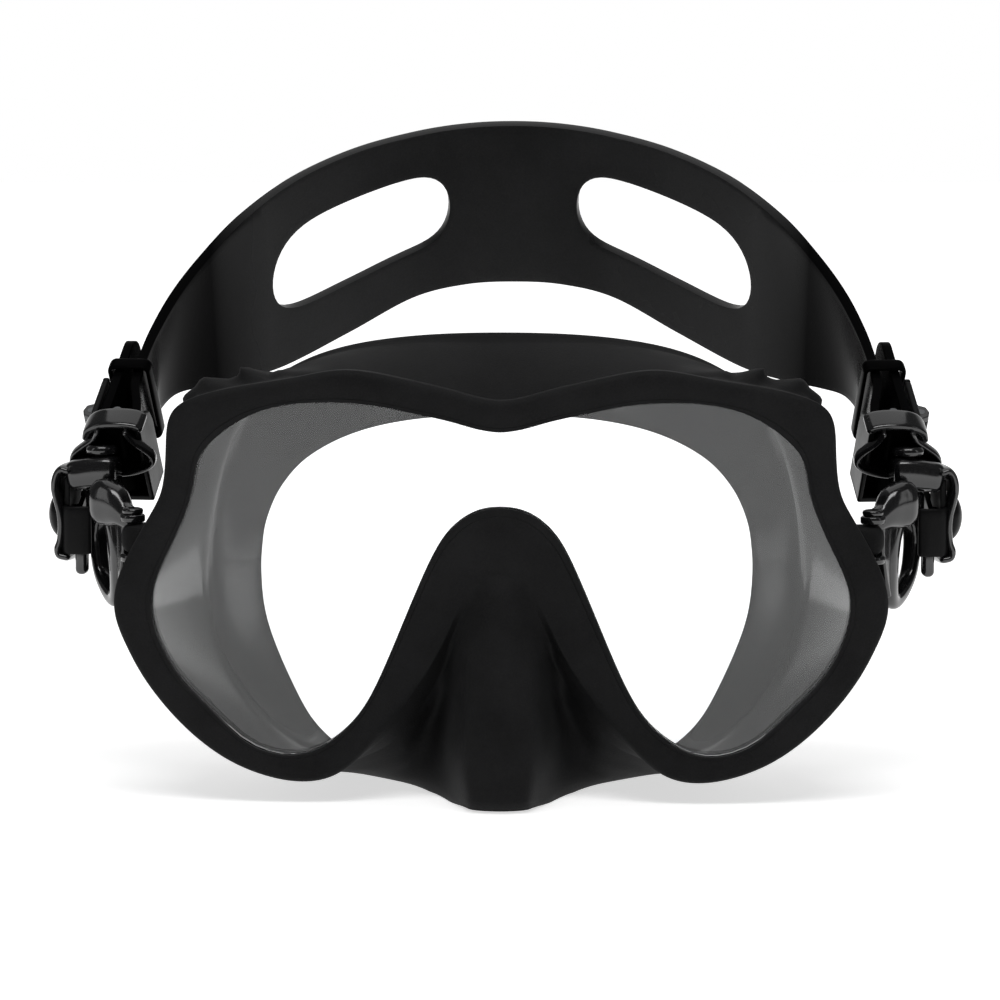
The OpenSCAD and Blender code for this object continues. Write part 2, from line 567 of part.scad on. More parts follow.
// ---- low coil under the dome
spring_r = 3.4;
spring_wire = 0.4;
spring_turns = 2.5;
spring_steps = 60;
spring_sides = 6;
module button_spring() {
  floor_x = button_base - button_travel - 0.2;
  x0 = floor_x + spring_wire / 2 + 0.05;
  x1 = button_base - spring_wire / 2 - 0.05;
  pts = [for (i = [0:spring_steps], j = [0:spring_sides - 1]) let(
    a = 360 * spring_turns * i / spring_steps, b = 360 * j / spring_sides,
    r = spring_r + cos(b) * spring_wire / 2)
    [r * cos(a), r * sin(a), mix(x0, x1, i / spring_steps) + sin(b) * spring_wire / 2]];
  e = spring_steps * spring_sides;
  faces = concat([[for (j = [spring_sides - 1:-1:0]) j]],
    [for (i = [0:spring_steps - 1], j = [0:spring_sides - 1]) let(
      a = i * spring_sides + j, b = i * spring_sides + (j + 1) % spring_sides)
      each [[a, b + spring_sides, a + spring_sides], [a, b, b + spring_sides]]],
    [[for (j = [0:spring_sides - 1]) e + j]]);
  color("#b0b2b4") on_swivel() translate([0, button_at[0], button_at[1]])
    rotate([0, 90, 0]) polyhedron(points = pts, faces = faces, convexity = 8);
}

// ---- loop that holds the free tail beside the strap
keeper_y = [15.4, 19];
keeper_wall = 1.3;
keeper_gap = 0.65; // clearance round the two runs of strap
module keeper() {
  x0 = -run_x - keeper_gap;
  x1 = wrap_out + keeper_gap;
  hz = strap_end_w / 2 + keeper_gap - 0.15;
  color("#1c1c1e") in_frame() difference() {
    block([x0 - keeper_wall, keeper_y[0], -hz - keeper_wall],
      [x1 + keeper_wall, keeper_y[1], hz + keeper_wall]);
    block([x0, keeper_y[0] - 1, -hz], [x1, keeper_y[1] + 1, hz]);
  }
}

module placed() {
  translate([0, -depth_mid, 0]) children();
}
module other_side() {
  mirror([1, 0, 0]) children();
}

placed() skirt();
placed() lens();
placed() subframe();
placed() strap();
placed() strap_side();  // strap_side_l
placed() strap_end();  // strap_end_l
placed() buckle();  // buckle_l
placed() roller();  // roller_l
placed() roller_pin();  // roller_pin_l
placed() pawl();  // pawl_l
placed() pawl_pin();  // pawl_pin_l
placed() button();  // button_l
placed() button_spring();  // button_spring_l
placed() cover();  // cover_l
placed() arm();  // arm_l
placed() anchor_pin();  // anchor_pin_l
placed() swivel_pin();  // swivel_pin_l
placed() keeper();  // keeper_l
placed() other_side() strap_side();  // strap_side_r
placed() other_side() strap_end();  // strap_end_r
placed() other_side() buckle();  // buckle_r
placed() other_side() roller();  // roller_r
placed() other_side() roller_pin();  // roller_pin_r
placed() other_side() pawl();  // pawl_r
placed() other_side() pawl_pin();  // pawl_pin_r
placed() other_side() button();  // button_r
placed() other_side() button_spring();  // button_spring_r
placed() other_side() cover();  // cover_r
placed() other_side() arm();  // arm_r
placed() other_side() anchor_pin();  // anchor_pin_r
placed() other_side() swivel_pin();  // swivel_pin_r
placed() other_side() keeper();  // keeper_r
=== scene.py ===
# Diving mask: looks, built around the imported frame. Shapes are worked out in
# millimetres in the mask's own axes (rim at y = 0) and put into the frame by metres().
import math
import bmesh
import bpy
import numpy as np
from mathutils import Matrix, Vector


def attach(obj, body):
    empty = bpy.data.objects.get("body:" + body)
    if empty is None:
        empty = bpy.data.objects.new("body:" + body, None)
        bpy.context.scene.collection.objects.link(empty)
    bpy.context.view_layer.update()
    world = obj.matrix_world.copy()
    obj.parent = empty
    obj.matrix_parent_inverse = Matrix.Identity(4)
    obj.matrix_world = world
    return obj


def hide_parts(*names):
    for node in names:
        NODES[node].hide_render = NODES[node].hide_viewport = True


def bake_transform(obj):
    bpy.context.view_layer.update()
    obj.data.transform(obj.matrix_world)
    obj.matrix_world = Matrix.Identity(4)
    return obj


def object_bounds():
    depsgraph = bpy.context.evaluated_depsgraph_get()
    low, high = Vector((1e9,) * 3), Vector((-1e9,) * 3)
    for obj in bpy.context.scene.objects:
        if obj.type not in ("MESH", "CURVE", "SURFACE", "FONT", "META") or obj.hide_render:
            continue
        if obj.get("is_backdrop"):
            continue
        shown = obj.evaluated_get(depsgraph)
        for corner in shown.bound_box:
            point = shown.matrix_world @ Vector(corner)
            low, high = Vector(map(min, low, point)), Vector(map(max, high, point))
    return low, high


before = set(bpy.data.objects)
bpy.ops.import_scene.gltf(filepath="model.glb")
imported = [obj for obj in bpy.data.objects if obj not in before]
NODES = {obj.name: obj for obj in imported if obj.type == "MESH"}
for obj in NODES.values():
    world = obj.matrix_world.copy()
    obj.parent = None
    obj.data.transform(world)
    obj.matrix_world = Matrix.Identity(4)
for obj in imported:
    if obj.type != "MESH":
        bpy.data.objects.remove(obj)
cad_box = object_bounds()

MM = 0.001
DEPTH_MID = 61.06  # the middle of the whole depth stands over the frame's origin
SIDES = (("l", 1), ("r", -1))


# ------------------------------------------------------------------ helpers
def metres(points):
    """Mask millimetres to metres in the frame."""
    p = np.asarray(points, dtype=float).reshape(-1, 3)
    return (p - [0, DEPTH_MID, 0]) * MM


def mirrored(points, sign):
    return np.asarray(points, dtype=float) * [sign, 1, 1]


def new_object(name, verts, faces, mats, face_mat=None, sign=1):
    """A mesh object from millimetre points; sign -1 mirrors it to the other side."""
    if sign < 0:
        verts = mirrored(verts, -1)
        faces = [tuple(reversed(f)) for f in faces]
    mesh = bpy.data.meshes.new(name)
    mesh.from_pydata([tuple(v) for v in metres(verts)], [], faces)
    for mat in mats:
        mesh.materials.append(mat)
    if face_mat is not None:
        mesh.polygons.foreach_set("material_index", face_mat)
    mesh.polygons.foreach_set("use_smooth", [True] * len(mesh.polygons))
    mesh.update()
    obj = bpy.data.objects.new(name, mesh)
    bpy.context.scene.collection.objects.link(obj)
    return obj


def bevel(obj, width, segments, angle, harden=True):
    """Rounds edges sharper than angle degrees by width millimetres."""
    mod = obj.modifiers.new("edge", "BEVEL")
    mod.width = width * MM
    mod.segments = segments
    mod.limit_method = "ANGLE"
    mod.angle_limit = math.radians(angle)
    mod.harden_normals = harden
    mod.use_clamp_overlap = True


def apply_modifiers(obj):
    graph = bpy.context.evaluated_depsgraph_get()
    mesh = bpy.data.meshes.new_from_object(obj.evaluated_get(graph), depsgraph=graph)
    obj.modifiers.clear()
    obj.data = mesh


def grid_faces(rows, cols, close_rows=False, close_cols=False, start=0):
    """Quads of a grid of points stored row by row."""
    faces = []
    for i in range(rows if close_rows else rows - 1):
        for j in range(cols if close_cols else cols - 1):
            i1, j1 = (i + 1) % rows, (j + 1) % cols
            faces.append((start + i * cols + j, start + i * cols + j1,
                          start + i1 * cols + j1, start + i1 * cols + j))
    return faces


def catmull(a, b, c, d, t):
    """Point at share t between b and c on a smooth curve through all four."""
    return (2 * b + (c - a) * t + (2 * a - 5 * b + 4 * c - d) * t ** 2
            + (3 * b - a - 3 * c + d) * t ** 3) / 2


def mix(a, b, t):
    return a + (b - a) * t


def closed_curve(points, per):
    """Smooth closed curve through points, with per samples for each point."""
    p = np.asarray(points, dtype=float)
    n = len(p)
    eye = np.eye(n)
    knots = np.linalg.solve((4 * eye + np.roll(eye, 1, 0) + np.roll(eye, -1, 0)) / 6, p)
    t = (np.arange(per) / per)[None, :, None]
    k = [np.roll(knots, s, 0)[:, None, :] for s in (1, 0, -1, -2)]
    out = (k[0] * (1 - t) ** 3 + k[1] * (3 * t ** 3 - 6 * t ** 2 + 4)
           + k[2] * (-3 * t ** 3 + 3 * t ** 2 + 3 * t + 1) + k[3] * t ** 3) / 6
    return out.reshape(n * per, -1)


# ---------------------------------------------------------------- materials
def feed(tree, socket, value):
    """Links another node's output to a socket, or sets a plain value."""
    if isinstance(value, bpy.types.NodeSocket):
        tree.links.new(value, socket)
    else:
        socket.default_value = value


def add_node(tree, kind, inputs, **settings):
    """A shader node; inputs maps its sockets to values or to other nodes' outputs."""
    node = tree.nodes.new("ShaderNode" + kind)
    for key, value in settings.items():
        setattr(node, key, value)
    for key, value in inputs.items():
        feed(tree, node.inputs[key], value)
    return node


def map_range(tree, value, start, stop, low, high):
    """Carries start..stop to low..high, and holds at both ends."""
    return add_node(tree, "MapRange", {
        "Value": value, "From Min": start, "From Max": stop, "To Min": low,
        "To Max": high}).outputs["Result"]


def math_node(tree, operation, *values):
    return add_node(tree, "Math", dict(enumerate(values)),
                    operation=operation).outputs[0]


def material(name, base, rough, *, tone, grain, bump, rough_var, mottle, dust=0.0,
             scratches=0.0, **sockets):
    """Moulded surface: colour and roughness vary, with a fine grain in the bump."""
    mat = bpy.data.materials.new(name)
    mat.use_nodes = True
    tree = mat.node_tree
    tree.nodes.clear()
    out = tree.nodes.new("ShaderNodeOutputMaterial")
    coords = tree.nodes.new("ShaderNodeTexCoord").outputs["Object"]

    def noise(scale, detail, **more):
        return add_node(tree, "TexNoise", {"Scale": scale, "Detail": detail,
                                           "Vector": coords, **more}).outputs["Fac"]

    broad = noise(mottle, 4, Roughness=0.55)
    fine = noise(grain, 3, Roughness=0.55)
    speck = math_node(tree, "MULTIPLY_ADD", fine, 0.5, broad)
    dark = [c * (1 - tone) for c in base]
    light = [min(1, c * (1 + tone) + dust) for c in base]
    colour = add_node(tree, "Mix", {
        "A": (*dark, 1), "B": (*light, 1),
        "Factor": map_range(tree, speck, 0.5, 1.0, 0, 1)}, data_type="RGBA")
    worn = map_range(tree, broad, 0.3, 0.7, rough - rough_var, rough + rough_var)
    if scratches:
        streak = noise(260, 6, Distortion=2.5)
        worn = math_node(tree, "ADD", worn,
                         map_range(tree, streak, 0.56, 0.7, 0, scratches))
    relief = add_node(tree, "Bump", {"Strength": bump, "Distance": 0.0002,
                                     "Height": fine})
    shader = add_node(tree, "BsdfPrincipled", {
        **{key.replace("_", " "): value for key, value in sockets.items()},
        "Base Color": colour.outputs["Result"], "Roughness": worn,
        "Normal": relief.outputs["Normal"]})
    tree.links.new(shader.outputs["BSDF"], out.inputs["Surface"])
    return mat


SKIN = material("silicone_matte", (0.0135, 0.0135, 0.014), 0.62, tone=0.3, grain=2600,
                bump=0.35, rough_var=0.06, mottle=70, dust=0.002,
                Specular_IOR_Level=0.08)
INNER = material("silicone_polished", (0.02, 0.02, 0.021), 0.15, tone=0.12, grain=60,
                 bump=0.0, rough_var=0.02, mottle=25, Specular_IOR_Level=0.5)
STRAP = material("silicone_strap", (0.019, 0.019, 0.0196), 0.3, tone=0.3, grain=2200,
                 bump=0.1, rough_var=0.06, mottle=28, dust=0.002,
                 Specular_IOR_Level=0.12)
GLOSS = material("gloss_plastic", (0.006, 0.006, 0.0065), 0.15, tone=0.2, grain=300,
                 bump=0.02, rough_var=0.03, mottle=90, scratches=0.12,
                 Specular_IOR_Level=0.6, Coat_Weight=0.4, Coat_Roughness=0.09)
SATIN = material("satin_plastic", (0.006, 0.006, 0.0063), 0.34, tone=0.25, grain=1500,
                 bump=0.12, rough_var=0.08, mottle=80, Specular_IOR_Level=0.1)
STEEL = material("pin_steel", (0.16, 0.165, 0.17), 0.32, tone=0.12, grain=900,
                 bump=0.15, rough_var=0.08, mottle=160, scratches=0.15, Metallic=1.0)
GLASS = material("tempered_glass", (0.975, 0.985, 0.985), 0.0, tone=0.01, grain=60,
                 bump=0.0, rough_var=0.0, mottle=18, Transmission_Weight=1.0, IOR=1.45)


def clear_to_lamps(mat):
    """Lets lamp light straight through a glass, so what is behind it is lit cleanly."""
    tree = mat.node_tree
    surface = tree.nodes["Material Output"].inputs["Surface"]
    clear = add_node(tree, "BsdfTransparent", {"Color": (0.95, 0.96, 0.96, 1)})
    path = tree.nodes.new("ShaderNodeLightPath")
    both = add_node(tree, "MixShader", {0: path.outputs["Is Shadow Ray"],
                                        1: surface.links[0].from_socket,
                                        2: clear.outputs[0]})
    tree.links.new(both.outputs[0], surface)


def polish_ends_with_painted_shade(mat, start=0.057, stop=0.069):
    """The back of the strap is matt, and past start to stop metres from the middle it
    is polished and blacker; the blacker colour there is painted shade, standing in for the
    dark things the ends reflect."""
    tree = mat.node_tree
    shader = tree.nodes["Principled BSDF"]
    coords = tree.nodes.new("ShaderNodeTexCoord").outputs["Object"]
    split = add_node(tree, "SeparateXYZ", {0: coords})
    ends = map_range(tree, math_node(tree, "ABSOLUTE", split.outputs["X"]),
                     start, stop, 0, 1)
    for name, low in (("Roughness", 0.5), ("Specular IOR Level", 0.06)):
        socket = shader.inputs[name]
        value = socket.links[0].from_socket if socket.links else socket.default_value
        drop = map_range(tree, ends, 0, 1, 1, low)
        tree.links.new(math_node(tree, "MULTIPLY", drop, value), socket)
    # painted shade: the colour of the ends is mixed towards near black in place of the
    # dark reflection they show
    colour = shader.inputs["Base Color"]
    painted_shade_tint = add_node(tree, "Mix", {
        "A": colour.links[0].from_socket, "B": (0.002, 0.002, 0.0022, 1),
        "Factor": ends}, data_type="RGBA")
    tree.links.new(painted_shade_tint.outputs["Result"], colour)


clear_to_lamps(GLASS)
# strap ends: polished, and their colour darkened with painted shade
polish_ends_with_painted_shade(STRAP)

# ------------------------------------------------------- contours of the skirt
# Half of each loop, from the top centre round the side to the nose arch. The rim's
# rows are [x, z]; the shoulder's, the lip's and the pocket's are [x, y, z].
RIM_OUT = np.array([
    [0, 85.9], [9.3, 87.8], [18, 89.9], [27, 91.8], [35, 92.2], [44, 90.6],
    [54, 89], [63, 87], [69.3, 83.2], [70.6, 75.5], [71.4, 67.4], [74, 61.6],
    [78.4, 53.8], [81.4, 46.5], [81.6, 40], [79.2, 33.4], [75, 25.8], [68, 17.2],
    [59.5, 10.2], [51, 6.2], [43, 4.6], [36, 5.6], [30.6, 9.2], [26.4, 13.8],
    [21.6, 19.6], [16.6, 26.6], [12.6, 33.4], [9.8, 39.6], [6.6, 45.4], [3.4, 49.4],
    [0, 50.6]])
RIM_IN = np.array([
    [0, 79.2], [9.3, 81.1], [17.5, 83], [26, 84.7], [33.8, 85.4], [41, 85.3],
    [47.5, 84.4], [54, 82], [60.5, 77.4], [63.9, 72.5], [65, 67], [67.3, 60],
    [70.8, 52.5], [73.4, 46], [73.7, 40], [72, 34], [68, 27], [61.8, 20.5],
    [55, 14], [49, 11], [43.5, 10.4], [38.3, 11.9], [33.4, 15.3], [29.2, 20.2],
    [25.2, 27.8], [21, 37.7], [16.8, 47.7], [12.6, 56], [8.2, 60.6], [4.1, 62.6],
    [0, 63.1]])
SHOULDER = np.array([
    [0, 33, 97.2], [9, 33.3, 97], [18, 34.2, 96.4], [27, 36, 95.2], [35.5, 38.5, 93.3],
    [43.5, 41.5, 90.3], [50.5, 44.5, 86], [56, 47, 80.7], [60.3, 49, 74.4],
    [63.2, 50.3, 67.6], [65, 51, 61], [66, 51.3, 55], [66.5, 51.2, 49],
    [66.5, 50.6, 43], [66, 49.8, 37], [64.8, 48.8, 31], [62.6, 47.6, 24.6],
    [59, 46.4, 18], [54.5, 45.2, 11.8], [49, 43.8, 6.6], [43, 42, 2.9],
    [36.5, 39.4, 0.9], [30.5, 35.8, 0.2], [25.5, 31.4, 0], [21.6, 26.6, 0],
    [18.2, 21.6, 0], [15.2, 17, 0], [12, 13.2, 0], [8.2, 10.6, 0], [4.1, 9.2, 0],
    [0, 8.8, 0]])
LIP = np.array([
    [0, 41, 80], [8.5, 41.3, 79.8], [17, 42.5, 79.2], [25.5, 44.3, 77.8],
    [33, 46.8, 75.6], [39.5, 49.5, 72.6], [45, 52.2, 68.9], [48.8, 54.4, 65],
    [51.6, 56, 61], [53.5, 57, 57], [54.8, 57.6, 53], [55.4, 57.8, 49],
    [55.7, 57.7, 45], [55.6, 57.2, 41], [55.2, 56.5, 36.8], [54.2, 55.6, 32],
    [52.4, 54.6, 26.8], [50, 53.6, 21.2], [47.3, 52.6, 15.6], [44.3, 51, 10.6],
    [40, 48.6, 6.2], [34.6, 45, 3.2], [29, 40.2, 2.2], [24, 34.6, 2.2], [20, 29.4, 2.6],
    [16.6, 24.6, 3.2], [13.6, 20.4, 4], [10.6, 17.4, 4.8], [7.2, 15.6, 5.4],
    [3.6, 14.7, 5.8], [0, 14.4, 5.9]])
# from this station on, the side wall's five rings run down into the nose pocket
POCKET_START = 21
POCKET = np.array([
    [[36, 9, 6.2], [36.5, 14, 5.5], [36.8, 20, 3.8], [36.8, 27, 2.2], [36.6, 33, 1.3]],
    [[29.5, 7, 9.6], [28.4, 11, 8.8], [28, 15.5, 6.4], [28.4, 21, 3.6], [29.4, 28, 1.4]],
    [[24.6, 4.5, 13.8], [22.8, 7.5, 12.6], [21.6, 10.5, 9.6], [21.6, 14.5, 5.6],
     [23.2, 21.5, 1.8]],
    [[19.4, 3.6, 19.4], [17.9, 6.6, 18.6], [16.9, 11, 14.6], [17, 11.6, 8.8],
     [17.4, 13.5, 2.6]],
    [[15, 3, 26.4], [14, 6, 25.4], [13.1, 9.6, 19.4], [13.4, 8.8, 11.2], [12.8, 6.8, 2.4]],
    [[11.4, 2, 33], [10.9, 3.2, 31], [10.5, 2.6, 22.4], [10.9, 0.6, 12.4],
     [9.8, -0.5, 1.6]],
    [[8.9, 0.6, 38.6], [8.4, -0.4, 36], [8, -5, 24], [8.2, -7.8, 12], [7.4, -6.3, 0.8]],
    [[6.1, -0.2, 44], [5.8, -1.6, 41], [5.8, -7.4, 26.6], [6, -10.8, 12.6],
     [5.6, -8.6, 0.5]],
    [[3.2, -0.4, 47.8], [3.1, -2.2, 44.5], [3.1, -8.4, 28.2], [3.2, -12, 13],
     [3, -9.4, 0.4]],
    [[0, -0.4, 49], [0, -2.4, 45.6], [0, -8.8, 28.8], [0, -12.4, 13.2], [0, -9.8, 0.4]]])
HALF = len(RIM_OUT)
SEAT_FRONT, SEAT_DEPTH, RIM_DEPTH = 1.2, 7.5, 9
SEAT_SHARE = 0.42  # share of the rim's width that covers the edge of the glass
WALL, LIP_WALL = 1.8, 0.9
WALL_BULGE, NECK_DEPTH = 1.4, 1.4
PER_STATION = 8
BODY_MID = np.array([0, 45])
FLOOR_GAP = 0.02


def lift(loop, depth):
    """[x, z] rows put at one depth."""
    return np.column_stack([loop[:, 0], np.full(len(loop), float(depth)), loop[:, 1]])


def dense(half):
    """Full smooth loop from the stations of one half."""
    other = half[-2:0:-1] * [-1, 1, 1]
    return closed_curve(np.vstack([half, other]), PER_STATION)


def rim_loop(share, depth):
    """Loop at a share of the rim's width from its inner edge."""
    return dense(lift(mix(RIM_IN, RIM_OUT, share), depth))


def wall_loop(i):
    """Ring i of the side wall: from the rear of the rim towards the shoulder."""
    outward = RIM_OUT - BODY_MID
    outward = outward / np.linalg.norm(outward, axis=1)[:, None]
    if i == 0:
        side = lift(mix(RIM_OUT, RIM_IN, 0.06), RIM_DEPTH)
    else:
        neck = lift(mix(RIM_OUT, RIM_IN, 0.3), RIM_DEPTH + NECK_DEPTH)
        side = mix(neck, SHOULDER, (0, 0, 0.34, 0.64, 0.86)[i])
        side = side + lift(outward, 0) * WALL_BULGE * (0, 0, 1, 1.2, 0.8)[i]
    side[POCKET_START:] = POCKET[:, i]
    return side


# pleats in the top corners: station along the loop and height over the rim's edge
PLEATS = [(4.2, 0), (4.9, 0.9), (5.2, 1.7), (5.5, 1.2), (5.84, 3.9), (6.16, 1.6),
          (6.4, 1.4), (6.78, 3.7), (7.15, 1.8), (7.5, 1.2), (8.05, 0)]


def pleated(loop, fade):
    """Raises folds out of a wall ring, between the rim and the crown of the wall."""
    at = np.arange(len(loop))
    u = np.minimum(at, len(loop) - at) / PER_STATION
    stations, heights = zip(*PLEATS)
    height = np.interp(u, stations, heights) * fade
    edge = dense(lift(RIM_OUT, 0))
    flat = edge[:, [0, 2]] - BODY_MID
    flat = flat / np.linalg.norm(flat, axis=1)[:, None]
    over = ((edge[:, [0, 2]] - loop[:, [0, 2]]) * flat).sum(1) * fade
    push = np.where(height > 0, np.maximum(over, 0) * np.minimum(height, 1) + height, 0)
    out = loop.copy()
    out[:, 0] += flat[:, 0] * push
    out[:, 2] += flat[:, 1] * push
    return out


def skin_normals(above, loop, below):
    """Outward direction at each point of a ring that has a ring on either side."""
    along = np.roll(loop, -1, 0) - np.roll(loop, 1, 0)
    n = np.cross(along, below - above)
    return n / np.linalg.norm(n, axis=1)[:, None]


def cross_section(rings, corners, steps):
    """Closed strip through rings of points. corners: ring index to fillet radius;
    steps: samples for the span that starts at each ring. Returns rows and, for each
    row, the ring it starts from."""
    n = len(rings)
    rows, owner = [], []

    def run_point(i, t):
        a, b, c, d = ((i - 1) % n, i, (i + 1) % n, (i + 2) % n)
        pb, pc = rings[b], rings[c]
        pa = 2 * pb - pc if b in corners else rings[a]
        pd = 2 * pc - pb if c in corners else rings[d]
        return catmull(pa, pb, pc, pd, t)

    for i in range(n):
        count = steps[i]
        if i in corners:
            centre = rings[i]
            before = run_point((i - 1) % n, 1 - 1 / steps[(i - 1) % n])
            after = run_point(i, 1 / count)
            ends = []
            for other in (before, after):
                gap = other - centre
                size = np.linalg.norm(gap, axis=1)[:, None]
                ends.append(centre + gap / size * np.minimum(corners[i], 0.62 * size))
            for t in (0, 0.25, 0.5, 0.75, 1):
                rows.append((1 - t) ** 2 * ends[0] + 2 * t * (1 - t) * centre
                            + t ** 2 * ends[1])
                owner.append(i)
        else:
            rows.append(rings[i])
            owner.append(i)
        for k in range(1, count):
            rows.append(run_point(i, k / count))
            owner.append(i)
    return rows, owner


def eased(t):
    return t * t * (3 - 2 * t)


def build_skirt():
    around = 2 * (HALF - 1) * PER_STATION
    at = np.arange(around)
    station = np.minimum(at, around - at) / PER_STATION
    # 0 on the flanks and 1 over the nose arch
    arch = eased(np.clip((station - 22.5) / 4, 0, 1)[:, None])
    brink = rim_loop(1, 0.9) - lift(np.zeros((len(arch), 2)), 1) * arch * 1.1
    walls = [dense(wall_loop(i)) for i in range(5)]
    walls[1] = pleated(walls[1], 0.62)
    crest = pleated(mix(walls[1], walls[2], 0.3), 1.0)
    walls[2] = pleated(walls[2], 0.75)
    walls[3] = pleated(walls[3], 0.3)
    shoulder, lip = dense(SHOULDER), dense(LIP)
    skin = [rim_loop(1, 0.8)] + walls + [shoulder, lip]
    inset = []
    for i in range(len(skin) - 1, 1, -1):
        below = skin[min(i + 1, len(skin) - 1)]
        normal = skin_normals(skin[i - 1], skin[i], below)
        inset.append(skin[i] - normal * (LIP_WALL if i == len(skin) - 1 else WALL))
    k = np.arange(HALF)
    share = np.where(k < POCKET_START, 0.72,
                     np.maximum(0.3, 0.72 - 0.1 * (k - POCKET_START + 1)))
    rear = dense(lift(RIM_OUT + (RIM_IN - RIM_OUT) * share[:, None], SEAT_DEPTH + 1.5))
    # (ring, fillet radius or None, samples to the next ring, polished face)
    parts = [
        (rim_loop(0, SEAT_FRONT), 0.15, 2, 0), (rim_loop(0, 0.1), 0.45, 2, 0),
        (rim_loop(0.115, -0.16), 0.12, 1, 0), (rim_loop(0.13, 0.02), 0.1, 1, 0),
        (rim_loop(0.145, -0.16), 0.12, 4, 0), (rim_loop(0.5, -0.5), None, 4, 0),
        (rim_loop(0.86, -0.15), None, 3, 0), (brink, 0.9 + 1.6 * arch, 5, 0),
        (walls[0], 0.9 + 1.8 * arch, 2, 0), (walls[1], 0.5 + 2.5 * arch, 3, 0),
        (crest, None, 3, 0),
        (walls[2], None, 4, 0), (walls[3], None, 4, 0), (walls[4], None, 3, 0),
        (shoulder, None, 8, 0), (lip, 0.35, 2, 1)]
    for i, ring in enumerate(inset):
        parts.append((ring, 0.35 if i == 0 else None, 6 if i == 0 else 4, 1))
    parts += [
        (rear, 0.5, 3, 1), (rim_loop(0, SEAT_DEPTH), 0.3, 3, 1),
        (rim_loop(SEAT_SHARE, SEAT_DEPTH), 0.1, 2, 1),
        (rim_loop(SEAT_SHARE, SEAT_FRONT), 0.1, 2, 0)]
    rows, owner = cross_section(
        [p[0] for p in parts],
        {i: p[1] for i, p in enumerate(parts) if p[1] is not None},
        [p[2] for p in parts])
    cols = len(rows[0])
    for row in rows:
        row[:, 2] = np.maximum(row[:, 2], FLOOR_GAP)
    faces = grid_faces(len(rows), cols, True, True)
    polished = np.repeat([parts[o][3] for o in owner], cols)
    return new_object("skirt_moulding", np.vstack(rows), [f[::-1] for f in faces],
                      [SKIN, INNER], polished)


skirt = build_skirt()
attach(skirt, "mask")
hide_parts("skirt")

# -------------------------------------------------------------- strap halves
# upper and lower edge of the inner face, from the back centre to the side [x, y, z]
STRAP_UP = [
    [0, 114, 142.5], [11.5, 113.5, 141.9], [23, 111.8, 140], [36.5, 107.8, 136.3],
    [50, 100.5, 130], [61, 91.5, 121.6], [69, 81.3, 112.6], [74.6, 71, 104.6],
    [78.4, 61, 96.9]]
STRAP_LOW = [
    [0, 132, 104.6], [12, 131.5, 103.9], [24.5, 129.3, 100.8], [39.5, 123.3, 92.8],
    [54.5, 113, 85.3], [65, 102.3, 82.6], [72.2, 91.3, 81.8], [77.2, 80.3, 80.8],
    [79.8, 70, 77.6]]
STRAP_T, END_T, END_HALF_W = 2.8, 2.0, 9
WINDOW, WINDOW_MID, WINDOW_HALF = (1.3, 4.35), 0.485, 0.235
ROLLER_AT = np.array([85.5, 42, 72])
SWIVEL_AT = np.array([88.2, 33])
YAW, TILT = math.radians(9), math.radians(35)
WRAP_R = 4.55  # radius of the strap's outer face where it turns round the roller
SIDE_JOIN, BEND_Y, RUN_X = 14, 1.5, 1.9


def on_swivel(p):
    """From the buckle drawn straight to the buckle at its rest angle."""
    p = np.asarray(p, dtype=float).reshape(-1, 3)
    d = p[:, :2] - SWIVEL_AT
    return np.column_stack([
        SWIVEL_AT[0] + d[:, 0] * math.cos(YAW) - d[:, 1] * math.sin(YAW),
        SWIVEL_AT[1] + d[:, 0] * math.sin(YAW) + d[:, 1] * math.cos(YAW), p[:, 2]])


def in_frame(p):
    """From the strap channel's own axes: x outward, y along the strap, z the roller."""
    p = np.asarray(p, dtype=float).reshape(-1, 3)
    c, s = math.cos(TILT), math.sin(TILT)
    return on_swivel(ROLLER_AT + np.column_stack([
        p[:, 0], p[:, 1] * c - p[:, 2] * s, p[:, 1] * s + p[:, 2] * c]))


def with_end(edge, z):
    """An edge of the strap, carried on to the buckle."""
    return np.vstack([edge, in_frame([[-RUN_X, SIDE_JOIN + 6, z],
                                      [-RUN_X, SIDE_JOIN, z]])])


STRAP_HI = with_end(STRAP_UP, END_HALF_W)
STRAP_LO = with_end(STRAP_LOW, -END_HALF_W)
STRAP_N = len(STRAP_HI) - 1
TAIL_Y, TAIL_CORNER = 30, 5
ARC = math.pi * WRAP_R
# the run past STRAP_N is measured in millimetres along the buckle's own path
RUN_END = SIDE_JOIN + ARC + TAIL_Y


def strap_edge(ctrl, s):
    """Point at station s of an edge."""
    def at(k):
        if k < 0:
            return ctrl[-k] * [-1, 1, 1]
        return 2 * ctrl[STRAP_N] - ctrl[2 * STRAP_N - k] if k > STRAP_N else ctrl[k]
    k = min(int(math.floor(s)), STRAP_N - 1)
    return catmull(at(k - 1), at(k), at(k + 1), at(k + 2), s - k)


def wrap_path(d):
    """One face of the strap past the side run, in the channel's [x, y], and the way
    through the strap to its other face, which bears on the roller."""
    if d < SIDE_JOIN:
        lean = eased(max(0, (SIDE_JOIN - d - BEND_Y) / (SIDE_JOIN - BEND_Y)))
        return [mix(-WRAP_R, -RUN_X, lean), SIDE_JOIN - d], [1, 0]
    a = (d - SIDE_JOIN) / WRAP_R
    if a < math.pi:
        return ([-WRAP_R * math.cos(a), -WRAP_R * math.sin(a)],
                [math.cos(a), math.sin(a)])
    return [WRAP_R, d - SIDE_JOIN - ARC], [-1, 0]


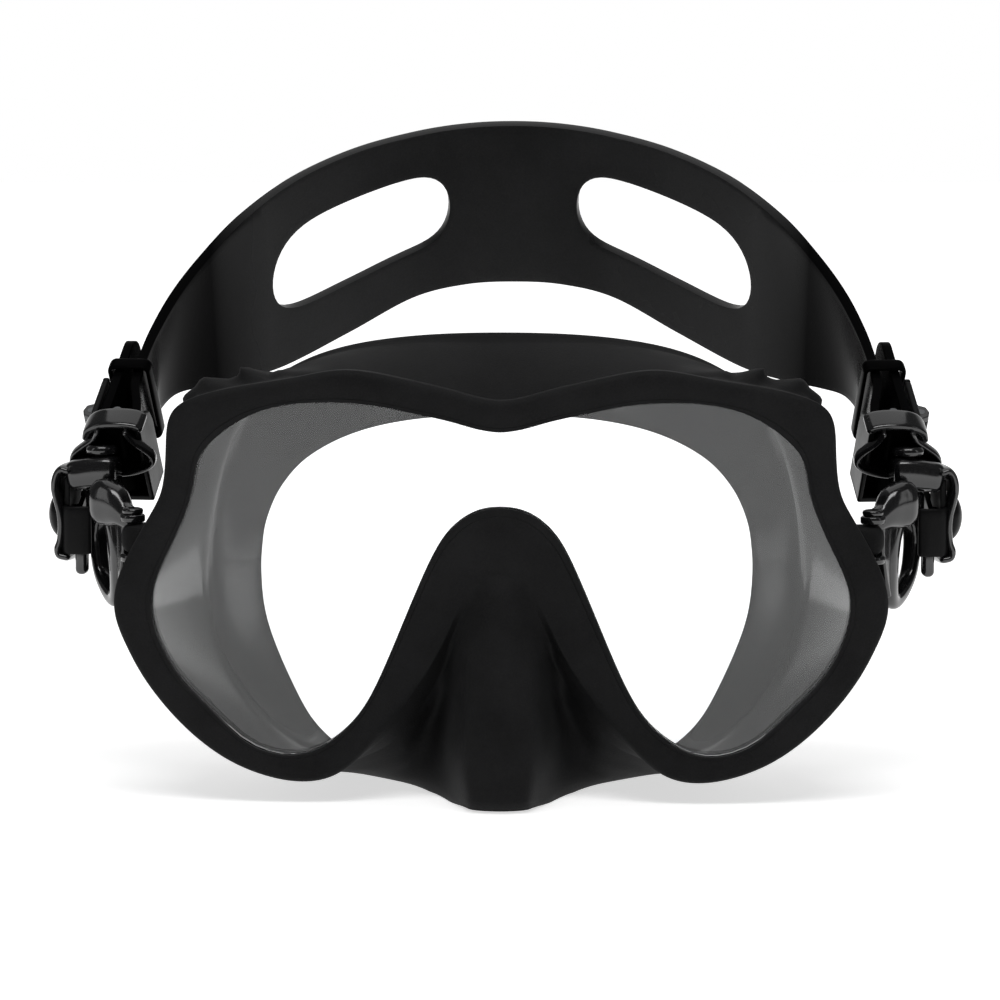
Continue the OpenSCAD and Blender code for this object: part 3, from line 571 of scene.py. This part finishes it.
def strap_point(s, w):
    """Inner and outer face at station s (0 back centre, then past STRAP_N in mm) and
    width share w from the top edge."""
    if s <= STRAP_N:
        hi, lo = strap_edge(STRAP_HI, s), strap_edge(STRAP_LO, s)
        if s > STRAP_N - 0.5:
            out = np.array([math.cos(YAW), math.sin(YAW), 0])
        else:
            s0, s1 = s - 0.02, s + 0.02
            along = (strap_edge(STRAP_HI, s1) - strap_edge(STRAP_HI, s0)
                     + strap_edge(STRAP_LO, s1) - strap_edge(STRAP_LO, s0))
            out = np.cross(hi - lo, along)
        out = out / np.linalg.norm(out)
        thick = mix(STRAP_T, END_T, max(0, (s - 5) / (STRAP_N - 5)))
        inner = mix(hi, lo, w)
        return inner, inner + out * thick
    at, way = wrap_path(s - STRAP_N)
    left = max(0, TAIL_CORNER - (RUN_END - (s - STRAP_N)))
    half = END_HALF_W - TAIL_CORNER + math.sqrt(max(0, TAIL_CORNER ** 2 - left ** 2))
    z = half - 2 * half * w
    inner = in_frame([[at[0], at[1], z]])[0]
    outer = in_frame([[at[0] + END_T * way[0], at[1] + END_T * way[1], z]])[0]
    return inner, outer


def window_outline(angle):
    """Station and width share on the edge of the strap's window."""
    t = (1 + math.cos(angle)) / 2
    half = math.sqrt(max(0, 1 - abs(2 * t - 1) ** 5)) * (1 if math.sin(angle) >= 0 else -1)
    return mix(*WINDOW, t), WINDOW_MID - half * WINDOW_HALF


def build_strap(side, sign):
    """Half of the strap as one closed moulding, open at the back centre until its
    edges are rounded."""
    bm = bmesh.new()
    cache = {}

    def vert(s, w, layer):
        key = (round(s, 5), round(w, 5), layer)
        if key not in cache:
            p = strap_point(s, w)[layer]
            cache[key] = bm.verts.new(tuple(p))
        return cache[key]

    def quad(corners):
        for layer in (0, 1):
            vs = [vert(s, w, layer) for s, w in corners]
            if len(set(vs)) == 4:
                bm.faces.new(vs if layer == 0 else vs[::-1])

    across, along, rings = 16, 44, 9
    win_from, win_to = 0.85, 4.8
    w_steps = [i / across for i in range(across + 1)]

    def plain(s_values):
        for s0, s1 in zip(s_values, s_values[1:]):
            for w0, w1 in zip(w_steps, w_steps[1:]):
                quad([(s0, w0), (s0, w1), (s1, w1), (s1, w0)])

    plain(list(np.linspace(0, win_from, 8)))
    # rings of quads between the window and the block of the band that holds it
    corner = math.radians(48)
    flat, tall = math.pi - 2 * corner, 2 * corner
    outer, angles = [], []
    for count, first, last, start, turn in (
            (across, (win_to, 1), (win_to, 0), -corner, tall),
            (along, (win_to, 0), (win_from, 0), corner, flat),
            (across, (win_from, 0), (win_from, 1), math.pi - corner, tall),
            (along, (win_from, 1), (win_to, 1), math.pi + corner, flat)):
        for i in range(count):
            t = i / count
            outer.append((mix(first[0], last[0], t), mix(first[1], last[1], t)))
            angles.append(start + turn * i / count)
    inner = [window_outline(a) for a in angles]

    def between(m, t):
        return mix(inner[m][0], outer[m][0], t), mix(inner[m][1], outer[m][1], t)

    for k in range(rings):
        t0, t1 = k / rings, (k + 1) / rings
        for i in range(len(outer)):
            j = (i + 1) % len(outer)
            quad([between(i, t1), between(j, t1), between(j, t0), between(i, t0)])
    plain(list(np.linspace(win_to, STRAP_N, 56)))
    straight = TAIL_Y - TAIL_CORNER
    tail = list(np.linspace(0, SIDE_JOIN, 10))
    tail += [SIDE_JOIN + d for d in np.linspace(0, ARC, 17)[1:]]
    tail += [SIDE_JOIN + ARC + d for d in np.linspace(0, straight, 16)[1:]]
    tail += [SIDE_JOIN + ARC + straight + TAIL_CORNER * math.sin(a)
             for a in np.linspace(0, math.pi / 2, 8)[1:]]
    plain([STRAP_N + d for d in tail])
    # side walls along every open edge except the back centre
    edges = [e for e in bm.edges if len(e.link_faces) == 1]
    lookup = {v: key for key, v in cache.items()}
    for e in edges:
        a, b = e.verts
        ka, kb = lookup[a], lookup[b]
        if ka[2] == 1 or (ka[0] == 0 and kb[0] == 0):
            continue
        a2, b2 = cache[(ka[0], ka[1], 1)], cache[(kb[0], kb[1], 1)]
        loop = e.link_loops[0]
        if loop.vert == a:
            bm.faces.new((b, a, a2, b2))
        else:
            bm.faces.new((a, b, b2, a2))
    bmesh.ops.recalc_face_normals(bm, faces=bm.faces)
    bm.verts.index_update()
    verts = [tuple(v.co) for v in bm.verts]
    faces = [tuple(v.index for v in f.verts) for f in bm.faces]
    bm.free()
    obj = new_object("strap_half_" + side, verts, faces, [STRAP], sign=sign)
    bevel(obj, 0.55, 3, 40, harden=False)
    apply_modifiers(obj)
    bm = bmesh.new()
    bm.from_mesh(obj.data)
    rim = [e for e in bm.edges if e.is_boundary]
    bmesh.ops.edgeloop_fill(bm, edges=rim)
    for e in rim:
        e.smooth = False
    bmesh.ops.recalc_face_normals(bm, faces=bm.faces)
    bm.to_mesh(obj.data)
    bm.free()
    obj.data.polygons.foreach_set("use_smooth", [True] * len(obj.data.polygons))
    return obj


for side, sign in SIDES:
    half = build_strap(side, sign)
    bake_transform(half)
    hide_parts(*(["strap"] if sign > 0 else []), "strap_side_" + side,
                "strap_end_" + side)

# ------------------------------------------------------------ sweeps and lathes
def sweep(path, half_w, half_t, power=3.5, closed=False, sections=24, end_r=None):
    """A bar with a rounded cross-section along a plane path [p, q]; half_w is half its
    width across the plane and half_t half its thickness in it. Returns [p, q, w]."""
    path = np.asarray(path, dtype=float)
    n = len(path)
    half_w = np.broadcast_to(np.asarray(half_w, dtype=float), (n,))
    half_t = np.broadcast_to(np.asarray(half_t, dtype=float), (n,))
    if closed:
        along = np.roll(path, -1, 0) - np.roll(path, 1, 0)
    else:
        along = np.gradient(path, axis=0)
    along = along / np.linalg.norm(along, axis=1)[:, None]
    ang = 2 * np.pi * np.arange(sections) / sections
    cs = np.sign(np.cos(ang)) * np.abs(np.cos(ang)) ** (2 / power)
    sn = np.sign(np.sin(ang)) * np.abs(np.sin(ang)) ** (2 / power)

    def ring(at, way, w, t):
        normal = np.array([-way[1], way[0]])
        return np.column_stack([at[0] + normal[0] * t * cs, at[1] + normal[1] * t * cs,
                                w * sn])
    rings = [ring(path[i], along[i], half_w[i], half_t[i]) for i in range(n)]
    if closed:
        return np.vstack(rings), grid_faces(n, sections, True, True)
    steps = 4

    def rounded_end(i, direction):
        r = min(half_t[i], half_w[i]) * 0.98 if end_r is None else end_r
        caps = []
        for k in range(1, steps + 1):
            a = k / steps * math.pi / 2
            back = r * (1 - math.cos(a))
            caps.append(ring(path[i] + along[i] * direction * r * math.sin(a), along[i],
                             max(half_w[i] - back, 0.01), max(half_t[i] - back, 0.01)))
        return caps
    rings = rounded_end(0, -1)[::-1] + rings + rounded_end(n - 1, 1)
    count = len(rings)
    faces = grid_faces(count, sections, False, True)
    faces.append(tuple(range(sections))[::-1])
    last = (count - 1) * sections
    faces.append(tuple(range(last, last + sections)))
    return np.vstack(rings), faces


def smooth_path(points, per=6, closed=False):
    """Smooth curve through rows of [p, q] or [p, q, extra...]."""
    p = np.asarray(points, dtype=float)
    if closed:
        return closed_curve(p, per)
    ext = np.vstack([2 * p[0] - p[1], p, 2 * p[-1] - p[-2]])
    out = [catmull(ext[i], ext[i + 1], ext[i + 2], ext[i + 3], k / per)
           for i in range(len(p) - 1) for k in range(per)]
    return np.array(out + [p[-1]])


def lathe(profile, turns=48):
    """Solid of revolution from [radius, height] rows that start and end on the axis."""
    prof = np.asarray(profile, dtype=float)
    ang = 2 * np.pi * np.arange(turns) / turns
    inner = prof[1:-1]
    verts = [[0, 0, prof[0][1]]]
    for r, h in inner:
        verts += [[r * math.cos(a), r * math.sin(a), h] for a in ang]
    verts.append([0, 0, prof[-1][1]])
    faces = [(0, 1 + (j + 1) % turns, 1 + j) for j in range(turns)]
    faces += grid_faces(len(inner), turns, False, True, 1)
    first, top = 1 + (len(inner) - 1) * turns, len(verts) - 1
    faces += [(first + j, first + (j + 1) % turns, top) for j in range(turns)]
    return np.array(verts), faces


def block(lo, hi):
    """Box between two opposite corners."""
    (x0, y0, z0), (x1, y1, z1) = lo, hi
    verts = [[x, y, z] for z in (z0, z1) for y in (y0, y1) for x in (x0, x1)]
    faces = [(0, 2, 3, 1), (4, 5, 7, 6), (0, 1, 5, 4), (2, 6, 7, 3), (0, 4, 6, 2),
             (1, 3, 7, 5)]
    return np.array(verts, dtype=float), faces


def prism(outline, lo, hi):
    """Outline [p, q] pushed from lo to hi along w."""
    n = len(outline)
    verts = [[p, q, w] for w in (lo, hi) for p, q in outline]
    faces = [tuple(range(n))[::-1], tuple(range(n, 2 * n))]
    faces += [(i, (i + 1) % n, n + (i + 1) % n, n + i) for i in range(n)]
    return np.array(verts, dtype=float), faces


def consistent(obj):
    """Turns every face outward."""
    bm = bmesh.new()
    bm.from_mesh(obj.data)
    bmesh.ops.recalc_face_normals(bm, faces=bm.faces)
    bm.to_mesh(obj.data)
    bm.free()


def solid(name, shape, place, mat, sign, body, edge=0, slot="gloss_black"):
    """A closed piece that rides on a body; place maps its own axes to the mask's."""
    verts, faces = shape
    obj = new_object(name, place(verts), faces, [mat], sign=sign)
    consistent(obj)
    if edge:
        bevel(obj, edge, 4, 30)
    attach(obj, body)
    return obj


def joined(*shapes):
    """Several closed shapes as one."""
    verts, faces = [], []
    base = 0
    for v, f in shapes:
        verts.append(v)
        faces += [tuple(i + base for i in face) for face in f]
        base += len(v)
    return np.vstack(verts), faces


# ------------------------------------------------------------------- buckles
LUG_AT, LUG_ROOT, LUG_MID_Z = np.array([79.4, 15.5]), 73.8, 55
ARM_TURN = math.atan2(SWIVEL_AT[1] - LUG_AT[1], SWIVEL_AT[0] - LUG_AT[0])
CHANNEL_Z, FLANGE, FRAME_IN, FRAME_OUT = 9.25, 1.6, 4.9, 6.4
FRAME_FRONT, FRAME_REAR = -5.3, 13
BUTTON_AT, BUTTON_R, HOLE_R, DOME_FOOT, DOME_H = (35, 58), 5.5, 5.75, 97.7, 2.95
KEEPER_HALF_Z, KEEPER_GAP, KEEPER_CORNER, KEEPER_Y = 10, 1.15, 1.3, 17.2


def xz_frame(v):
    """[p, q, w] as [x, z, y] of the strap channel."""
    return in_frame(v[:, [0, 2, 1]])


def xz_swivel(v):
    """[p, q, w] as [x, z, y] of the buckle."""
    return on_swivel(v[:, [0, 2, 1]])


def on_button(v):
    """A shape turned about z, laid along the button's axis."""
    return on_swivel(v[:, [2, 0, 1]] + [0, *BUTTON_AT])


def arm_place(v):
    """[u, z, v] of the arm's plate to the mask's axes."""
    c, s = math.cos(ARM_TURN), math.sin(ARM_TURN)
    return np.column_stack([LUG_AT[0] + v[:, 0] * c - v[:, 2] * s,
                            LUG_AT[1] + v[:, 0] * s + v[:, 2] * c, v[:, 1]])


def upright(at):
    return lambda v: v + [at[0], at[1], 0]


def build_buckle(side, sign):
    body = "buckle_" + side

    def add(name, shape, place, mat=GLOSS, **kw):
        obj = solid(name + "_" + side, shape, place, mat, sign, body, **kw)
        return obj

    # arched cap over the top of the channel
    cap = smooth_path([[-6, 9.9], [-4.7, 10.6], [-2, 11], [1.5, 10.9], [4.2, 10.2],
                       [5.9, 8.9], [6.5, 7.3]], 5)
    add("buckle_cap", sweep(cap, 2.9, 0.85, 5), lambda v: xz_frame(v + [0, 0, -3]))
    # inner plate of the channel, outer plate with its window, and the sill under them
    low, high = -CHANNEL_Z - FLANGE, CHANNEL_Z + 0.4
    side_plate = prism([[FRAME_FRONT, low], [FRAME_FRONT, 9.9], [0.5, 9.9], [3.6, 8],
                        [4.8, 4.6], [4.8, low]], -FRAME_OUT + 0.3, -FRAME_IN)
    plates = joined(
        (side_plate[0][:, [2, 0, 1]], side_plate[1]),
        block([FRAME_IN, FRAME_FRONT, low], [FRAME_OUT, -0.5, high]),
        block([FRAME_IN, FRAME_REAR - 1.2, low], [FRAME_OUT, FRAME_REAR, high]),
        block([FRAME_IN, -0.6, 5.8], [FRAME_OUT, FRAME_REAR - 1, high]),
        block([FRAME_IN, -0.6, low], [FRAME_OUT, FRAME_REAR - 1, -5.8]),
        block([-FRAME_OUT + 0.3, FRAME_FRONT, low], [FRAME_OUT, 3, -CHANNEL_Z]))
    add("buckle_channel", plates, in_frame, mat=SATIN, edge=0.5)
    # ears of the locking lever
    ears = joined(*[prism([[6.2, 2.4], [7.6, 2.2], [9, 2.8], [9.5, 4.5], [9, 6.2],
                           [7.6, 6.8], [6.2, 6.6]], z, z + 1.5)
                    for z in (5.55, -7.05)])
    add("buckle_ears", ears, in_frame, edge=0.3)
    # bell-shaped mouth: a thin lip, and its throat back to the channel
    lip = smooth_path([[-3.2, 9.8], [-4.3, 7.6], [-6.5, 5.4], [-8.1, 3.2], [-7.9, 1.2],
                       [-5.6, -0.6], [-1.4, -1.8], [4, -2], [8.6, -0.9], [10.3, 1.2],
                       [9.5, 3.5], [6.9, 5.8], [4.4, 7.8], [3.2, 9.8]], 5)
    add("buckle_mouth_lip", sweep(lip, 1.3, 0.6, 2.6), lambda v: xz_frame(v + [0, 0, -6]))
    throat_lip = smooth_path([[p, q] for p, q in lip[::5]], 4)
    throat = np.array([[np.clip(p, -FRAME_IN, FRAME_IN) * 0.98,
                        np.clip(q, -6, CHANNEL_Z)] for p, q in throat_lip])
    rows, n = 6, len(throat_lip)
    outer = np.vstack([
        np.column_stack([mix(throat_lip, throat, t ** 0.7), np.full(n, mix(-6, -1, t))])
        for t in np.linspace(0, 1, rows)])
    inner = outer.copy()
    mid = np.array([1.0, 3.0])
    inner[:, :2] = mid + (inner[:, :2] - mid) * 0.9
    under = len(outer)
    faces = grid_faces(rows, n)
    faces += [tuple(reversed([i + under for i in f])) for f in faces]
    last = (rows - 1) * n
    for j in range(n - 1):
        faces.append((j + under, j + 1 + under, j + 1, j))
        faces.append((last + j, last + j + 1, last + j + 1 + under, last + j + under))
    for a in range(0, last, n):
        faces.append((a, a + n, a + n + under, a + under))
        a += n - 1
        faces.append((a + n, a, a + under, a + n + under))
    add("buckle_throat", (np.vstack([outer, inner]), faces), xz_frame)
    # knuckle round the swivel pin
    heights = (67.6, 67.65, 67.6, 67.55, 67.45, 67.3, 67.15, 67, 66.8)
    knuckle = np.column_stack([np.linspace(86.2, 93.9, 9), heights])
    add("buckle_knuckle", sweep(knuckle, np.linspace(4.5, 4.7, 9),
                                np.linspace(3.7, 3.4, 9), 3.6, end_r=1.7),
        lambda v: xz_swivel(v + [0, 0, 33.4]))
    # case behind the button, with its foot
    case = smooth_path([[90.3, 28.9], [92.2, 28.3], [94.2, 28.3], [95.4, 28.9],
                        [95.9, 30.2], [95.9, 34], [95.9, 38], [95.6, 40.2]], 5)
    add("buckle_case", sweep(case, 5.3, 0.75, 5),
        lambda v: on_swivel(v + [0, 0, 55]), mat=SATIN)
    add("buckle_case_back", block([94.9, 30.5, 58], [96.3, 40.2, 66.4]), on_swivel,
        mat=SATIN, edge=0.4)
    foot = [[92, 50.5], [92, 48.4], [92, 46.4]]
    add("buckle_foot", sweep(foot, 1.6, 1.35, 3, end_r=1.2),
        lambda v: xz_swivel(v + [0, 0, 29.8]))
    # curved cover with a round opening for the button
    band = smooth_path([[95.1, 68.0], [96.3, 68.3], [97.4, 67.0], [97.9, 64.5],
                        [97.4, 61.8], [96.7, 59], [96.4, 55.7], [96.7, 52.6],
                        [97.3, 50.8], [96.9, 49.4], [95.5, 49.0]], 6)
    cover = add("button_cover", sweep(band, 6.6, 1.1, 2.8),
                lambda v: xz_swivel(v + [0, 0, 34.4]))
    verts, faces = lathe([[0, 90], [HOLE_R, 90], [HOLE_R, 104], [0, 104]], 64)
    drill = new_object("drill", on_button(verts), faces, [GLOSS], sign=sign)
    consistent(drill)
    cut = cover.modifiers.new("hole", "BOOLEAN")
    cut.operation = "DIFFERENCE"
    cut.object = drill
    cut.solver = "EXACT"
    apply_modifiers(cover)
    bpy.data.objects.remove(drill)
    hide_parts("buckle_" + side)
    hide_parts("cover_" + side)
    # loop that holds the tail
    x0, x1 = -RUN_X - KEEPER_GAP, WRAP_R + KEEPER_GAP
    r, top = KEEPER_CORNER, KEEPER_HALF_Z - KEEPER_CORNER
    loop = [[cx + r * math.cos(a), cz + r * math.sin(a)]
            for quarter, (cx, cz) in enumerate(((x1 - r, top), (x0 + r, top),
                                                (x0 + r, -top), (x1 - r, -top)))
            for a in (quarter + np.linspace(0, 1, 7)) * math.pi / 2]
    keeper = add("strap_keeper", sweep(loop, 1.7, 0.5, 3.5, True),
                 lambda v: xz_frame(v + [0, 0, KEEPER_Y]), mat=STRAP,
                 slot="silicone_strap")
    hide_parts("keeper_" + side)
    # dome button
    dome = [[0, 94.6], [2, 94.6], [2, 97.05], [5.35, 97.1], [BUTTON_R, 97.3]]
    for a in np.linspace(0, math.pi / 2, 12)[:-1]:
        dome.append([BUTTON_R * math.cos(a), DOME_FOOT + DOME_H * math.sin(a) ** 1.15])
    dome.append([0, DOME_FOOT + DOME_H])
    button = solid("dome_button_" + side, lathe(dome, 64), on_button, SATIN, sign,
                   "button_" + side)
    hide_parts("button_" + side)


def build_arm(side, sign):
    # limbs round the window: [u, z, half width in the plate, half thickness across it]
    ring = smooth_path([
        [16.2, 60.2, 2.4, 2.6], [19.9, 59.2, 2.2, 2.4], [22.1, 55, 1.3, 2.1],
        [22.2, 50.5, 1.2, 2.0], [20.6, 45.8, 1.3, 1.9], [16.8, 42.2, 1.7, 1.7],
        [12.4, 40.5, 1.9, 1.5], [9.6, 42.6, 2.4, 1.8], [8.9, 47, 2.4, 2.1],
        [9.3, 52.5, 2.5, 2.3], [11.4, 57.6, 2.6, 2.6]], 6, True)
    limbs = sweep(ring[:, :2], ring[:, 3], ring[:, 2], 2.4, True, 20)
    # hood: a bulb that swells from the fork to the front of the knuckle, with rows
    # [x, y, half width, half thickness, height]
    crest = smooth_path([[80.8, 18.6, 1.9, 2.7, 59.2], [82.7, 20.5, 2.9, 4.1, 61.1],
                         [84.9, 22.6, 3.5, 5.0, 61.8], [86.6, 23.8, 3.6, 5.1, 61.9]], 5)
    bulb = sweep(crest[:, :2], crest[:, 3], crest[:, 2], 2.5, end_r=3.0)

    def hood_place(v):
        out = np.array(v)
        out[:, 2] += np.interp(v[:, 0] + v[:, 1], crest[:, 0] + crest[:, 1], crest[:, 4])
        return out

    # thin web between the ears and the ring
    web = prism([[3.0, 52], [3.0, 59.4], [8.2, 60.4], [9, 55], [8.2, 47], [8.6, 41.8],
                 [7, 41.6], [5, 46]], -1.3, 1.3)
    arm = solid("arm_ring_" + side, limbs, arm_place, GLOSS, sign, "mask")
    solid("arm_hood_" + side, bulb, hood_place, GLOSS, sign, "mask")
    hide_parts("arm_" + side)
    solid("arm_web_" + side, web, arm_place, GLOSS, sign, "mask", edge=0.6)
    barrel = [[0, 58.4], [3.2, 58.4], [3.55, 58.7], [3.6, 59.2], [3.6, 63.0], [3.4, 63.4],
              [3.1, 63.55], [0, 63.55]]
    solid("arm_barrel_" + side, lathe(barrel), upright(SWIVEL_AT), GLOSS, sign, "mask")
    for name, z in (("low", 49.9), ("high", 58.5)):
        ear = [[0, z], [2.45, z], [2.7, z + 0.25], [2.7, z + 1.35], [2.45, z + 1.6],
               [0, z + 1.6]]
        solid("arm_ear_" + name + "_" + side, lathe(ear), upright(LUG_AT), GLOSS, sign,
              "mask")
    pin = [[0, 49.6], [1.2, 49.6], [1.2, 60.1], [2.0, 60.15], [2.25, 60.4], [2.3, 61],
           [2.1, 61.35], [1.6, 61.5], [1.3, 61.4], [0.4, 61.35], [0, 61.35]]
    head = solid("anchor_head_" + side, lathe(pin), upright(LUG_AT), GLOSS, sign, "mask")
    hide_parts("anchor_pin_" + side)
    pin = [[0, 58.4], [1.5, 58.4], [1.5, 71.45], [3.0, 71.5], [3.4, 71.7], [3.5, 72.3],
           [3.4, 72.9], [3.05, 73.35], [2.7, 73.5], [2.45, 73.4], [2.3, 73.3],
           [1.4, 73.5], [0, 73.6]]
    head = solid("swivel_head_" + side, lathe(pin), upright(SWIVEL_AT), GLOSS, sign,
                 "mask")
    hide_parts("swivel_pin_" + side)
    # rubber lug on the flank of the skirt
    lug = sweep([[LUG_ROOT, LUG_AT[1]], [75.4, LUG_AT[1]], [77.2, LUG_AT[1]], LUG_AT], 3.3,
                [3.4, 3.2, 3.0, 2.9], 3.2, end_r=2.4)

    def lug_place(v):
        lean = np.clip((LUG_AT[0] - v[:, 0]) / (LUG_AT[0] - LUG_ROOT), 0, 1)
        out = v + [0, 0, LUG_MID_Z]
        out[:, 0] -= 0.5 * lean * v[:, 2]
        return out
    solid("skirt_lug_" + side, lug, lug_place, SKIN, sign, "mask", slot="silicone_skirt")


for side, sign in SIDES:
    build_buckle(side, sign)
    build_arm(side, sign)

# ---------------------------------------------------------- pieces kept from CAD
# node: its material and the width of its rounded edges
KEPT = {"lens": (GLASS, 0), "subframe": (SATIN, 0.2)}
for side, _ in SIDES:
    KEPT.update({
        "roller_" + side: (SATIN, 0.2), "roller_pin_" + side: (STEEL, 0.2),
        "pawl_" + side: (SATIN, 0.15), "pawl_pin_" + side: (STEEL, 0.15),
        "button_spring_" + side: (STEEL, 0)})
for name, (mat, radius) in KEPT.items():
    obj = NODES[name]
    obj.data.materials.clear()
    obj.data.materials.append(mat)
    if radius:
        weld = obj.modifiers.new("weld", "WELD")
        weld.merge_threshold = 0.00001
        bevel(obj, radius, 4, 25)

# ------------------------------------------------------------ floor and light
FLOOR_HALF = 6.0
PAINTED_SHADOW_NEAR, PAINTED_SHADOW_FAR = 0.15, 0.7  # metres from the part over which the glow rises out of the painted shadow round the part


def stage_floor():
    mesh = bpy.data.meshes.new("floor")
    corners = ((-1, -1), (1, -1), (1, 1), (-1, 1))
    mesh.from_pydata([(x * FLOOR_HALF, y * FLOOR_HALF, 0) for x, y in corners], [],
                     [(0, 1, 2, 3)])
    floor = bpy.data.objects.new("floor", mesh)
    bpy.context.scene.collection.objects.link(floor)
    mat = bpy.data.materials.new("floor")
    mat.use_nodes = True
    tree = mat.node_tree
    # pale glow for the eye, dimmer close to the part as a painted shadow, and dimmer in
    # the light it throws back
    path = tree.nodes.new("ShaderNodeLightPath")
    coords = tree.nodes.new("ShaderNodeTexCoord")
    reach = add_node(tree, "VectorMath", {0: coords.outputs["Object"]},
                     operation="LENGTH")
    # painted shadow: the glow falls from 1.0 to 0.64 close to the part, darkening the
    # floor round it
    fade = map_range(tree, reach.outputs["Value"], PAINTED_SHADOW_NEAR, PAINTED_SHADOW_FAR, 0.64, 1.0)
    glow = map_range(tree, path.outputs["Is Diffuse Ray"], 0, 1, fade, 0.08)
    shader = tree.nodes["Principled BSDF"]
    for key, value in (("Base Color", (0.9, 0.9, 0.9, 1)), ("Roughness", 0.9),
                       ("Specular IOR Level", 0.1), ("Emission Color", (1, 1, 1, 1)),
                       ("Emission Strength", glow)):
        feed(tree, shader.inputs[key], value)
    mesh.materials.append(mat)
    floor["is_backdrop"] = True


def softbox(name, at, to, size, power, size_y=None):
    """Area lamp that faces a point; sizes in metres and power in watts."""
    data = bpy.data.lights.new(name, "AREA")
    data.energy = power
    data.size = size
    if size_y:
        data.shape = "RECTANGLE"
        data.size_y = size_y
    lamp = bpy.data.objects.new(name, data)
    lamp.location = at
    way = Vector(to) - Vector(at)
    lamp.rotation_euler = way.to_track_quat("-Z", "Y").to_euler()
    bpy.context.scene.collection.objects.link(lamp)


def studio():
    world = bpy.data.worlds.new("studio")
    world.use_nodes = True
    tree = world.node_tree
    tree.nodes.clear()
    out = tree.nodes.new("ShaderNodeOutputWorld")
    seen = add_node(tree, "Background", {"Color": (1, 1, 1, 1), "Strength": 1.0})
    # a white backdrop stands behind the mask and the rest of the room is dim
    coords = tree.nodes.new("ShaderNodeTexCoord")
    split = add_node(tree, "SeparateXYZ", {0: coords.outputs["Generated"]})
    lit = add_node(tree, "Background", {
        "Strength": map_range(tree, split.outputs["Y"], 0.6, 0.9, 0.1, 1.0)})
    path = tree.nodes.new("ShaderNodeLightPath")
    straight = math_node(tree, "MAXIMUM", path.outputs["Is Camera Ray"],
                         path.outputs["Is Transmission Ray"])
    blend = add_node(tree, "MixShader", {0: straight, 1: lit.outputs[0],
                                         2: seen.outputs[0]})
    tree.links.new(blend.outputs[0], out.inputs["Surface"])
    bpy.context.scene.world = world
    softbox("top_light", (0, 0.5, 1.3), (0, 0, 0), 1.2, 3)
    softbox("front_light", (0, -0.72, 1.48), (0, 0, 0.07), 1.2, 10.5, 0.5)
    softbox("left_light", (-1.1, -0.5, 0.55), (0, 0, 0.06), 0.22, 0.7, 0.9)
    softbox("right_light", (1.1, -0.5, 0.55), (0, 0, 0.06), 0.22, 0.7, 0.9)


def camera():
    """A long lens 0.8 m from the rim, 6 degrees above it and a little to its side."""
    data = bpy.data.cameras.new("camera")
    data.lens = 136.98
    data.sensor_width = 36
    data.clip_end = 50
    cam = bpy.data.objects.new("camera", data)
    target = Vector((0, -DEPTH_MID * MM, 0.065))
    turn, rise, away = math.radians(1.5), math.radians(6), 0.8
    cam.location = target + away * Vector((
        math.sin(turn) * math.cos(rise), -math.cos(turn) * math.cos(rise),
        math.sin(rise)))
    cam.rotation_euler = (target - cam.location).to_track_quat("-Z", "Y").to_euler()
    bpy.context.scene.collection.objects.link(cam)
    bpy.context.scene.camera = cam


stage_floor()
studio()
camera()
bpy.context.scene.view_settings.view_transform = "Standard"
bpy.context.scene.view_settings.look = "None"


def plain(box):
    return [[float(c) for c in corner] for corner in box]


{"cad": plain(cad_box), "visual": plain(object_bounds())}
